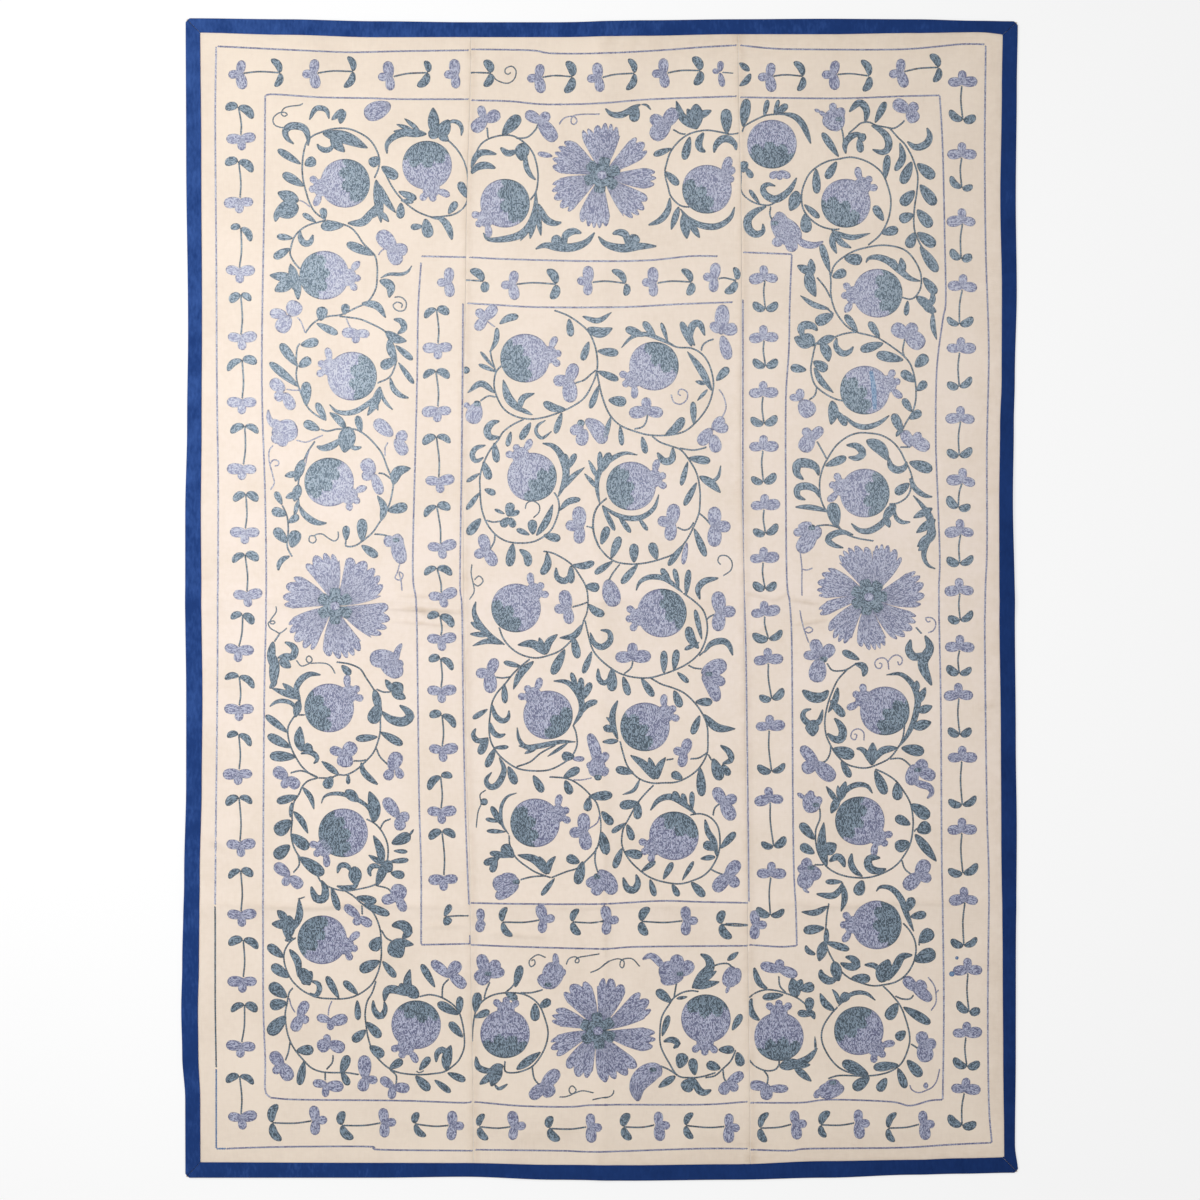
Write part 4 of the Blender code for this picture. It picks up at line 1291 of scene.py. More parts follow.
        (GREY, 473, 583, 478, 586, 483, 581, 479, 576, 474, 580),
        (GREY, 721, 565, 718, 561, 720, 556, 727, 556, 732, 562, 731, 570, 723, 576),
        (GREY, 486, 790, 480, 795, 481, 804, 478, 812, 476, 828),
        (LILAC, 671, 394, 674, 402, 681, 404, 687, 399, 687, 392, 681, 389, 678, 393, 681, 396),
        (LILAC, 719, 389, 724, 397, 726, 408, 722, 418), (LILAC, 600, 814, 597, 823, 587, 830),
        (LILAC, 573, 780, 582, 780, 592, 778), (LILAC, 486, 320, 495, 327),
    ],
    "trefoils": [  # x, y, direction, size
        (484, 317, 140, 1.15), (567, 380, 172, 1.45), (647, 409, 90, 1.25), (485, 551, 203, 1.25),
        (566, 609, 190, 1.25), (578, 527, 180, 1.35), (670, 523, 172, 1.35), (717, 526, 0, 1.45),
        (722, 612, 0, 1.45), (488, 673, 170, 1.3), (632, 655, 92, 1.3), (683, 753, 165, 1.08),
        (582, 832, 185, 1.35), (725, 802, 30, 1.35), (729, 877, 320, 1.4),
    ],
    "petals": [  # lilac parts of the tulips, as the leaves above
        (478, 402, 471, 424, 17), (470, 403, 464, 408, 8), (721, 335, 723, 304, 15),
        (722, 332, 738, 327, 13), (720, 333, 711, 322, 10), (722, 335, 729, 360, 12),
        (712, 428, 699, 445, 13), (712, 430, 724, 417, 11), (714, 429, 729, 427, 11),
        (713, 434, 717, 453, 13), (585, 419, 604, 444, 16, 12), (584, 425, 570, 433, 11),
        (585, 428, 580, 446, 13), (607, 579, 615, 607, 18), (687, 542, 683, 565, 6),
        (598, 772, 589, 733, 12, -6), (597, 756, 597, 778, 18), (600, 764, 608, 752, 9),
        (599, 768, 609, 774, 10), (597, 768, 586, 764, 8), (572, 759, 585, 759, 6),
        (520, 881, 492, 885, 18), (519, 885, 495, 898, 12), (517, 877, 500, 878, 10),
        (598, 870, 614, 895, 16, 8), (598, 876, 602, 892, 11), (600, 877, 586, 886, 11),
        (599, 881, 595, 896, 12), (701, 674, 727, 663, 17), (703, 676, 726, 683, 12),
        (702, 675, 718, 702, 13, 8),
    ],
    "hearts": [(477, 404), (581, 423), (516, 882), (597, 877), (709, 674), (598, 777), (484, 802)],
}
lay_out(MIDDLE_FIELD)

# %% Left border, upper half
LEFT_BORDER_TOP = {
    "stems": [
        (326, 220, 316, 213, 310, 204, 306, 192, 303, 180, 302, 168, 303, 155, 306, 143, 312, 136,
         321, 132, 331, 129, 341, 128, 350, 129, 360, 133, 369, 139, 375, 147, 379, 157, 379, 165,
         377, 172, 374, 178),
        (326, 220, 318, 222, 308, 225, 300, 230, 294, 237, 291, 246, 290, 254, 294, 262, 300, 269),
        (326, 220, 339, 223, 350, 227, 357, 234, 363, 243, 370, 250, 375, 256, 377, 266, 377, 277,
         376, 287, 372, 296, 366, 303, 357, 307, 347, 312, 339, 315, 329, 316, 319, 319, 311, 325,
         305, 333), (339, 316, 347, 317, 360, 319, 372, 324, 380, 328, 386, 332),
        (448, 140, 456, 148, 462, 157, 466, 167, 468, 178, 468, 190, 467, 201, 462, 209, 454, 214,
         444, 216, 433, 217, 423, 214, 415, 210, 407, 204, 399, 196, 393, 188, 388, 179, 382, 166),
        (377, 383, 388, 378, 393, 371, 396, 360, 394, 347, 389, 338, 385, 331),
        (300, 343, 297, 348, 296, 360, 297, 366, 296, 373, 297, 382, 300, 391, 304, 401, 309, 409,
         316, 415, 325, 420), (320, 429, 327, 431, 337, 429, 346, 429, 354, 429, 361, 432, 369, 438,
         378, 448, 383, 456, 387, 467, 390, 474, 393, 483, 392, 493, 389, 505, 385, 514, 379, 523,
         372, 533, 361, 542, 354, 546, 346, 546, 346, 540), (378, 473, 384, 474, 391, 479),
        (374, 534, 384, 535, 391, 538),
        (315, 441, 308, 451, 303, 462, 300, 473, 298, 485, 298, 497, 299, 506),
        (292, 557, 287, 546, 288, 531, 287, 517, 282, 505),
    ],
    "paddles": [
        (301, 164, 277, 149, 8), (304, 165, 316, 159, 11), (304, 186, 282, 173, 10),
        (325, 219, 322, 207, 8), (380, 157, 369, 165, 11), (381, 166, 398, 178, 11),
        (316, 222, 302, 213, 6), (344, 225, 320, 226, 11), (293, 238, 276, 236, 7),
        (290, 248, 273, 258, 9), (374, 255, 346, 243, 10), (320, 321, 323, 306, 12),
        (344, 315, 346, 303, 9), (316, 323, 338, 334, 8), (467, 198, 459, 181, 9),
        (448, 214, 457, 201, 8), (398, 191, 417, 199, 8), (400, 200, 414, 202, 5),
        (401, 202, 400, 219, 9), (423, 226, 410, 227, 7), (425, 218, 429, 238, 12),
        (430, 217, 441, 218, 4), (340, 124, 343, 109, 9), (331, 120, 344, 109, 7),
        (300, 345, 319, 341, 10), (297, 366, 280, 343, 10), (298, 367, 311, 358, 10),
        (299, 387, 269, 362, 9), (306, 406, 306, 381, 11), (326, 421, 316, 402, 8),
        (320, 430, 303, 422, 10), (361, 433, 357, 415, 8), (387, 511, 408, 506, 11),
        (362, 542, 362, 518, 11), (346, 541, 346, 525, 8), (361, 545, 378, 557, 9),
        (288, 523, 299, 515, 8), (282, 505, 275, 491, 7), (287, 515, 271, 510, 10),
        (287, 543, 274, 528, 11), (291, 548, 297, 530, 13), (397, 359, 380, 367, 11),
        (398, 362, 414, 384, 6), (395, 345, 413, 360, 7),
    ],
    "blades": [
        (322, 133, 368, 148, 13, 6), (330, 138, 345, 152, 10), (427, 134, 393, 131, 9),
        (420, 131, 404, 118, 5), (413, 130, 396, 124, 5), (434, 134, 433, 107, 12),
        (439, 138, 449, 119, 14), (438, 133, 449, 141, 9), (428, 131, 439, 137, 11),
        (376, 179, 381, 223, 10), (378, 183, 396, 213, 8, -6), (380, 211, 389, 222, 6),
        (379, 205, 372, 218, 9), (298, 300, 290, 263, 9, -6), (294, 278, 269, 275, 10),
        (294, 280, 274, 291, 13), (290, 264, 293, 290, 10, 8), (299, 201, 277, 192, 13),
        (299, 206, 274, 213, 19), (278, 208, 275, 222, 7), (385, 331, 407, 341, 10, -10),
        (389, 338, 397, 362, 9, -8), (380, 386, 367, 416, 9, 6), (375, 399, 378, 411, 4),
        (346, 429, 329, 412, 8, -6), (349, 426, 344, 453, 18), (303, 459, 295, 482, 10),
        (298, 473, 284, 476, 7), (299, 484, 294, 502, 10), (297, 493, 285, 498, 7),
        (298, 500, 294, 517, 5), (393, 485, 411, 468, 11, 26), (381, 521, 377, 495, 8, -18),
        (361, 303, 386, 318, 8, 20), (379, 280, 389, 298, 10, 34),
    ],
    "scrolls": [
        (8, 308, 146, 308, 137, 305, 129, 299, 126, 290, 126, 285, 131, 287, 138, 294, 144),
        (6, 329, 119, 327, 111, 322, 108, 315, 109, 309, 120),
        (6, 333, 142, 331, 148, 325, 150, 319, 147, 317, 143),
        (7, 427, 134, 407, 133, 395, 136, 387, 144, 387, 154),
        (5, 447, 125, 452, 121, 459, 123, 462, 129, 461, 136),
        (9, 378, 203, 371, 213, 362, 222, 347, 223),
        (7, 300, 230, 300, 237, 304, 243, 310, 242, 313, 234),
        (8, 436, 216, 444, 221, 449, 229, 452, 240),
        (4, 380, 278, 389, 274, 401, 274, 408, 271, 412, 265),
        (7, 397, 334, 404, 328, 401, 321, 393, 319), (6, 390, 377, 393, 388, 400, 395, 409, 398),
        (4, 380, 386, 382, 396, 387, 404, 393, 410),
        (6, 380, 387, 375, 397, 366, 405, 356, 411, 346, 413, 336, 411, 329, 404),
        (8, 342, 438, 333, 445, 323, 448, 316, 446), (5, 348, 442, 354, 448, 362, 447),
        (7, 299, 505, 303, 513, 311, 520, 319, 523, 327, 523),
        (6, 290, 556, 283, 559, 279, 564, 278, 571),
    ],
    "curls": [
        (GREY, 303, 103, 299, 105, 290, 106, 284, 108, 281, 113, 284, 116, 287, 114, 284, 112, 278, 113,
         273, 118, 274, 124, 280, 127, 288, 127), (GREY, 394, 297, 401, 297, 406, 302, 405, 309, 400, 311,
         395, 309, 393, 305, 397, 302, 402, 304, 401, 308), (LILAC, 299, 200, 304, 202, 310, 207),
        (LILAC, 297, 317, 301, 322, 305, 333), (LILAC, 346, 318, 349, 325, 353, 331),
        (LILAC, 378, 255, 382, 250, 388, 248), (LILAC, 286, 389, 293, 390, 302, 390),
        (LILAC, 296, 440, 306, 442, 316, 438, 323, 435),
        (LILAC, 273, 445, 269, 451, 269, 461, 272, 473, 274, 483, 270, 490),
        (LILAC, 270, 464, 273, 460, 278, 461, 278, 465, 274, 466), (LILAC, 388, 442, 385, 448, 385, 456),
        (LILAC, 310, 448, 307, 456, 305, 466), (GREY, 315, 536, 310, 536, 309, 541, 313, 543, 316, 540,
         315, 535, 322, 534, 328, 538, 334, 541, 338, 538, 338, 531),
        (LILAC, 400, 563, 397, 573, 395, 578, 400, 580, 403, 575, 399, 572, 401, 581, 402, 591),
    ],
    "trefoils": [(357, 334, 266, 1.02)],
    "petals": [
        (391, 104, 364, 116, 19), (396, 251, 378, 231, 17), (391, 247, 408, 251, 13),
        (389, 243, 399, 265, 15), (289, 316, 298, 301, 17), (287, 314, 269, 313, 11),
        (290, 315, 278, 332, 16), (285, 391, 270, 380, 13), (285, 393, 274, 399, 11),
        (284, 392, 293, 410, 12), (271, 434, 298, 428, 23), (284, 434, 271, 441, 11),
        (284, 432, 281, 447, 12), (283, 428, 270, 421, 10), (393, 436, 374, 420, 14),
        (395, 437, 408, 435, 12), (395, 438, 406, 455, 13), (374, 475, 363, 459, 15),
        (374, 476, 361, 475, 11), (373, 473, 381, 495, 11), (396, 540, 383, 542, 12),
        (398, 533, 403, 564, 15, -8), (391, 545, 403, 537, 14),
    ],
    "lilac scrolls": [(7, 284, 426, 274, 425, 269, 418, 268, 409)],
    "hearts": [(433, 134), (396, 540), (466, 370)],
}
lay_out(LEFT_BORDER_TOP)

# %% Left border below the rosette
LEFT_BORDER_MIDDLE = {
    "stems": [
        (336, 662, 349, 664, 360, 669, 366, 678, 372, 687, 377, 696, 379, 704, 380, 716, 380, 732,
         377, 744, 373, 753, 366, 761, 356, 770, 346, 775, 338, 775, 330, 778, 318, 778),
        (318, 778, 310, 774, 302, 767, 296, 758, 291, 748, 288, 737, 288, 727, 293, 718, 298, 711,
         300, 702, 298, 690), (298, 715, 305, 715), (376, 689, 383, 692, 391, 692),
        (376, 748, 380, 757, 388, 765), (353, 761, 361, 761, 366, 760), (290, 773, 302, 771, 317, 777),
        (318, 778, 308, 781, 302, 787, 299, 794, 294, 802, 292, 812, 292, 822, 291, 833, 293, 845,
         298, 855, 306, 864, 316, 874, 321, 882, 331, 888, 345, 891, 360, 889, 372, 886, 380, 881,
         385, 869), (298, 855, 299, 865, 293, 873),
        (366, 819, 375, 824, 382, 832, 387, 843, 388, 853, 387, 863), (391, 819, 384, 822, 380, 829),
        (377, 886, 388, 889, 393, 896), (280, 633, 274, 642),
    ],
    "paddles": [
        (341, 665, 351, 675, 8), (380, 732, 403, 745, 9), (378, 737, 355, 739, 8),
        (348, 774, 348, 785, 5), (332, 776, 325, 789, 11), (288, 733, 265, 715, 8),
        (291, 748, 267, 735, 10), (296, 757, 269, 756, 11), (298, 796, 276, 802, 9),
        (291, 820, 275, 834, 15), (290, 834, 309, 849, 12), (290, 845, 274, 858, 13),
        (299, 857, 324, 875, 13), (391, 844, 411, 835, 12), (389, 862, 409, 860, 6),
        (390, 873, 405, 876, 9), (393, 851, 408, 852, 5), (380, 703, 371, 724, 14),
        (303, 752, 312, 745, 11),
    ],
    "blades": [
        (273, 641, 274, 672, 9, -8), (275, 655, 273, 688, 11), (277, 680, 269, 689, 6),
        (279, 659, 291, 668, 10), (393, 692, 385, 679, 7), (392, 692, 403, 684, 15),
        (391, 691, 406, 699, 10), (374, 689, 380, 713, 9), (339, 775, 321, 761, 7),
        (300, 699, 271, 688, 7), (297, 696, 282, 683, 7), (299, 700, 295, 718, 9),
        (302, 752, 300, 726, 11, 8), (345, 790, 359, 802, 11), (374, 823, 369, 791, 13, -8),
        (382, 866, 373, 835, 9, -8), (384, 865, 368, 855, 6), (387, 860, 376, 887, 10),
        (382, 862, 392, 872, 14), (302, 787, 314, 810, 6, 10), (293, 811, 308, 834, 7, 6),
        (354, 866, 356, 886, 14), (409, 836, 414, 829, 3), (292, 802, 290, 818, 5),
    ],
    "scrolls": [
        (8, 277, 658, 285, 656, 292, 657, 295, 650, 291, 645, 284, 642),
        (10, 381, 711, 390, 719, 402, 722, 410, 717, 407, 711, 399, 705),
        (7, 361, 762, 363, 771, 369, 778, 378, 785),
        (7, 299, 702, 296, 690, 299, 682, 304, 677, 311, 674, 321, 675),
        (5, 298, 713, 292, 704, 284, 701, 276, 702, 269, 707),
        (6, 300, 754, 308, 752, 315, 755, 317, 760, 313, 764),
        (5, 374, 822, 368, 808, 361, 802, 351, 797, 341, 794, 331, 794, 324, 797, 321, 804),
        (6, 382, 868, 373, 866, 369, 871, 371, 877), (6, 352, 873, 347, 866, 340, 866, 337, 874),
        (6, 359, 880, 354, 887, 344, 888, 336, 886),
    ],
    "curls": [
        (GREY, 276, 606, 276, 612, 271, 619, 270, 623, 273, 624, 275, 622, 272, 621, 268, 623, 270, 628,
         275, 631, 280, 633, 287, 628), (GREY, 296, 660, 301, 666, 308, 664, 312, 660, 309, 656, 306, 659,
         309, 663, 319, 663, 327, 664, 332, 668, 335, 674),
    ],
    "petals": [
        (390, 771, 399, 752, 15), (393, 769, 385, 780, 11), (396, 767, 402, 779, 9),
        (345, 754, 329, 749, 10), (343, 757, 355, 743, 15), (346, 752, 344, 768, 17),
        (288, 778, 273, 769, 13), (287, 777, 283, 789, 9), (287, 777, 299, 788, 12),
        (290, 876, 274, 864, 12), (290, 875, 283, 886, 9), (290, 876, 302, 888, 12),
        (399, 818, 384, 798, 13), (397, 817, 410, 817, 11), (397, 817, 402, 831, 12),
        (402, 643, 396, 662, 7, -10), (398, 658, 369, 659, 19), (392, 657, 397, 679, 17),
        (380, 662, 399, 675, 15), (393, 664, 404, 664, 9),
    ],
    "hearts": [(383, 868)],
}
lay_out(LEFT_BORDER_MIDDLE)

# %% Left border, the corner
LEFT_BORDER_BOTTOM = {
    "stems": [
        (345, 891, 353, 896, 361, 903, 370, 909, 376, 918, 380, 930, 381, 943, 381, 958, 378, 972,
         372, 984, 363, 992, 353, 997, 343, 999, 332, 999, 319, 998, 308, 994, 300, 989, 292, 981,
         287, 972, 284, 962, 284, 953, 287, 946, 291, 941, 296, 938), (362, 905, 362, 915),
        (381, 930, 386, 938, 393, 942), (293, 988, 289, 993, 287, 1003, 285, 1014, 286, 1027, 289, 1039,
         294, 1049, 302, 1059, 311, 1068, 321, 1072, 333, 1073, 346, 1073, 359, 1075),
        (290, 1042, 288, 1053, 285, 1061), (333, 1055, 332, 1063, 326, 1070), (325, 1072, 325, 1081),
        (390, 1070, 396, 1076, 396, 1085), (449, 979, 443, 986, 442, 998), (376, 981, 372, 993, 367, 1002,
         365, 1014, 366, 1026, 368, 1038, 372, 1050, 379, 1060, 388, 1068, 399, 1073, 417, 1075,
         433, 1074, 444, 1072, 452, 1067, 459, 1060, 464, 1048, 464, 1034, 462, 1022, 459, 1013,
         453, 1005, 442, 998, 430, 995, 419, 997),
    ],
    "paddles": [
        (331, 887, 339, 911, 8), (356, 897, 377, 902, 9), (362, 904, 390, 915, 9),
        (381, 937, 371, 951, 13), (380, 961, 359, 971, 12), (382, 961, 396, 978, 8),
        (358, 995, 343, 981, 8), (339, 999, 326, 976, 8), (284, 958, 267, 945, 10),
        (289, 978, 271, 965, 11), (287, 998, 269, 984, 13), (287, 1003, 269, 1006, 12),
        (286, 1016, 268, 1035, 14), (296, 1051, 314, 1050, 11), (304, 1061, 299, 1086, 9),
        (341, 1075, 348, 1055, 10), (341, 1072, 349, 1086, 8), (357, 1000, 358, 1021, 7),
        (366, 1022, 381, 1038, 10), (366, 1030, 352, 1042, 10), (369, 1046, 384, 1057, 11),
        (389, 1069, 403, 1060, 9), (415, 1076, 430, 1091, 10), (419, 1071, 430, 1057, 8),
        (434, 1080, 451, 1093, 7), (447, 1073, 466, 1081, 8), (459, 1015, 460, 996, 8),
        (459, 1015, 437, 1003, 10), (463, 1038, 449, 1022, 9), (435, 988, 421, 964, 8),
        (404, 992, 400, 983, 7),
    ],
    "blades": [
        (293, 931, 299, 898, 8, -10), (287, 921, 277, 910, 9), (290, 925, 271, 924, 10),
        (289, 915, 288, 941, 14), (284, 941, 294, 938, 5), (392, 941, 414, 945, 9),
        (391, 941, 402, 958, 19), (410, 944, 413, 946, 3), (289, 949, 298, 978, 8, 14),
        (300, 968, 310, 986, 13), (302, 985, 312, 971, 12), (411, 996, 410, 969, 9, 12),
        (419, 998, 402, 984, 13), (446, 1071, 451, 1045, 11, 6), (297, 899, 304, 898, 2),
    ],
    "scrolls": [
        (9, 321, 880, 325, 889, 324, 898, 317, 899, 313, 893, 311, 886),
        (11, 402, 939, 408, 932, 404, 926, 398, 925, 391, 926),
        (6, 310, 981, 318, 984, 319, 991, 315, 996, 309, 993),
        (7, 373, 1000, 374, 1010, 380, 1017, 385, 1010, 384, 1001),
        (9, 408, 996, 396, 990, 387, 991, 384, 1002),
        (7, 447, 1064, 446, 1054, 442, 1050, 437, 1054, 436, 1063),
    ],
    "curls": [
        (LILAC, 289, 998, 291, 1006, 295, 1013), (LILAC, 332, 1001, 329, 1008, 328, 1016),
        (GREY, 299, 899, 302, 898, 305, 897), (GREY, 416, 1071, 419, 1073, 424, 1071),
    ],
    "petals": [
        (360, 918, 344, 905, 10), (359, 916, 355, 926, 9), (358, 917, 372, 926, 10),
        (399, 897, 381, 901, 11), (395, 903, 401, 884, 17), (397, 896, 405, 912, 10),
        (283, 1068, 271, 1052, 13), (282, 1064, 273, 1074, 9), (280, 1063, 291, 1081, 14),
        (328, 1045, 326, 1034, 8), (331, 1042, 317, 1049, 14), (328, 1043, 345, 1050, 13),
        (328, 1085, 312, 1083, 9), (325, 1086, 344, 1087, 12), (326, 1083, 325, 1098, 8),
        (365, 1080, 364, 1055, 14), (366, 1077, 361, 1092, 12), (364, 1079, 378, 1081, 9),
        (394, 1088, 380, 1078, 10), (392, 1087, 410, 1089, 11), (393, 1085, 391, 1100, 9),
        (298, 1018, 307, 1001, 11), (301, 1015, 293, 1032, 12), (299, 1017, 309, 1022, 9),
        (331, 1021, 316, 1017, 9), (328, 1023, 348, 1018, 12), (331, 1018, 330, 1031, 8),
        (451, 978, 431, 961, 11), (448, 976, 460, 962, 13), (449, 973, 466, 988, 12),
    ],
}
lay_out(LEFT_BORDER_BOTTOM)

# %% Top border
TOP_MIDDLE = {
    "stems": [
        (487, 127, 488, 138), (471, 173, 473, 164, 476, 153, 481, 144, 490, 138, 503, 135, 514, 136,
         525, 143, 533, 153, 537, 166, 538, 178, 536, 191, 530, 200),
        (516, 138, 527, 137, 535, 130, 538, 124), (673, 129, 680, 133, 686, 134),
        (739, 133, 730, 134, 721, 132, 706, 130, 691, 133, 680, 140, 671, 151, 667, 162, 665, 173,
         668, 186, 671, 196, 680, 205, 690, 207),
    ],
    "paddles": [
        (502, 135, 520, 115, 13), (690, 136, 684, 160, 9), (672, 148, 653, 155, 7),
        (665, 171, 679, 185, 8.5), (637, 105, 633, 122, 11), (563, 246, 552, 236, 11),
        (630, 247, 637, 234, 12),
    ],
    "blades": [
        (679, 206, 671, 230, 7), (523, 142, 521, 161, 15), (535, 210, 530, 239, 8),
        (537, 210, 541, 236, 6), (533, 222, 520, 241, 5), (698, 129, 676, 100, 9, 14),
        (696, 103, 697, 129, 14), (696, 117, 712, 110, 8), (684, 212, 687, 239, 11),
        (690, 222, 700, 238, 7), (697, 126, 687, 108, 10),
    ],
    "scrolls": [
        (7, 605, 108, 612, 114, 623, 114, 634, 107, 641, 104), (3, 641, 104, 647, 105, 651, 110),
        (8, 704, 132, 699, 141, 700, 148, 706, 152), (7, 670, 197, 668, 210, 660, 220, 648, 225),
        (7, 680, 208, 688, 218, 701, 225, 717, 226, 730, 218, 735, 206),
        (7, 518, 150, 508, 153, 500, 147), (6, 525, 150, 526, 165, 530, 174, 536, 180),
        (7, 471, 168, 476, 156, 484, 152, 497, 154), (8, 471, 174, 477, 167, 486, 165, 496, 168),
        (8, 536, 191, 535, 210, 529, 226, 519, 235, 503, 239, 488, 239, 483, 232),
        (8, 538, 203, 545, 218, 554, 223, 562, 222),
        (9, 595, 232, 586, 242, 573, 247, 558, 247, 545, 245, 535, 249),
        (8, 566, 246, 565, 236, 573, 231, 582, 233),
        (9, 598, 236, 606, 244, 622, 248, 640, 246, 657, 246),
        (8, 627, 246, 626, 235, 619, 232, 612, 234),
    ],
    "curls": [
        (GREY, 492, 74, 497, 80, 507, 83, 514, 79, 516, 71, 512, 66, 506, 68, 505, 72, 508, 74, 511, 72),
        (LILAC, 559, 124, 564, 118, 571, 116, 575, 117, 577, 121, 574, 124, 571, 122, 573, 116, 582, 114,
         600, 114),
    ],
    "petals": [
        (484, 120, 480, 105, 9), (485, 121, 500, 112, 13), (487, 117, 472, 131, 14),
        (542, 122, 525, 112, 12), (539, 124, 549, 112, 11), (538, 118, 556, 141, 15),
        (668, 127, 650, 116, 13), (663, 127, 677, 108, 15), (670, 119, 652, 139, 18),
        (553, 156, 537, 153, 6), (723, 178, 730, 156, 10), (720, 176, 736, 168, 9),
        (720, 181, 735, 178, 8), (722, 168, 730, 180, 9),
    ],
}
lay_out(TOP_MIDDLE)

# %% Bottom border
BOTTOM_MIDDLE = {
    "stems": [
        (490, 982, 486, 991, 484, 999), (472, 1042, 473, 1026, 476, 1011, 483, 1001, 494, 995, 509, 993,
         525, 995, 538, 1004, 545, 1019, 548, 1034, 544, 1050, 534, 1065, 523, 1071, 512, 1073, 505, 1071,
         505, 1061), (505, 993, 512, 987, 517, 979), (520, 993, 531, 993, 543, 990), (677, 981, 674, 998),
        (699, 992, 691, 991, 682, 993, 674, 998, 669, 1005, 662, 1017, 660, 1032, 661, 1047, 669, 1063,
         678, 1076, 691, 1078, 702, 1077, 716, 1073), (660, 1066, 669, 1070, 678, 1076),
        (532, 1066, 534, 1078, 539, 1085), (445, 917, 457, 916, 469, 916), (725, 924, 736, 924, 747, 925),
    ],
    "paddles": [
        (475, 1013, 478, 992, 10), (474, 1018, 490, 1011, 8), (515, 988, 521, 965, 9),
        (505, 993, 518, 1000, 8), (672, 1003, 656, 990, 10), (662, 1037, 669, 1015, 7),
        (679, 1069, 684, 1053, 13), (695, 1076, 692, 1058, 10), (694, 1079, 683, 1091, 14),
        (535, 1003, 535, 1022, 10), (539, 1008, 551, 1000, 9), (444, 917, 451, 904, 7),
        (444, 917, 450, 925, 10),
    ],
    "blades": [
        (696, 984, 717, 971, 8), (693, 988, 720, 982, 8), (676, 999, 688, 997, 4),
        (676, 1076, 658, 1088, 8), (500, 1064, 491, 1087, 13), (495, 1073, 479, 1085, 8),
        (516, 1070, 541, 1052, 9), (504, 1066, 489, 1070, 9),
    ],
    "scrolls": [
        (10, 692, 989, 701, 977, 710, 968, 708, 959, 700, 954),
        (7, 663, 1042, 672, 1040, 678, 1044, 673, 1049), (8, 694, 1078, 698, 1089, 704, 1093, 712, 1090),
        (7, 497, 1070, 487, 1071, 478, 1067, 476, 1056), (4, 494, 1084, 499, 1089, 508, 1084),
    ],
    "curls": [
        (GREY, 546, 958, 538, 955, 531, 959, 529, 963, 531, 967, 535, 964, 534, 960, 531, 961),
        (GREY, 566, 965, 569, 959, 575, 957, 579, 960, 578, 963, 575, 962, 578, 958, 588, 956, 600, 954),
        (GREY, 590, 973, 599, 969, 608, 962, 618, 959, 624, 962, 623, 968, 620, 966, 622, 960, 632, 959,
         640, 967), (GREY, 559, 1097, 565, 1097, 573, 1094, 576, 1090, 572, 1086, 569, 1090, 572, 1094,
         582, 1091, 594, 1093), (GREY, 592, 1100, 601, 1098, 609, 1097, 613, 1094, 614, 1090),
    ],
    "petals": [
        (487, 977, 480, 954, 13), (488, 979, 498, 960, 13), (487, 976, 505, 971, 11),
        (490, 970, 476, 983, 17), (549, 990, 556, 962, 22), (557, 973, 555, 953, 7),
        (552, 979, 566, 970, 9), (551, 989, 539, 975, 13), (686, 972, 658, 971, 21),
        (677, 978, 677, 954, 15), (679, 976, 693, 962, 14), (684, 977, 660, 981, 13),
        (659, 1067, 657, 1078, 9), (541, 1089, 559, 1070, 14), (546, 1083, 530, 1099, 13),
        (543, 1082, 552, 1097, 15), (481, 923, 480, 908, 9), (481, 918, 479, 933, 10),
        (480, 924, 486, 925, 6),
    ],
    "lilac scrolls": [
        (8, 664, 969, 657, 960, 650, 956, 642, 960),
        (21, 663, 1070, 652, 1072, 642, 1079, 637, 1089, 638, 1102),
    ],
    "hearts": [(488, 974), (548, 985), (680, 974), (653, 1070)],
}
lay_out(BOTTOM_MIDDLE)

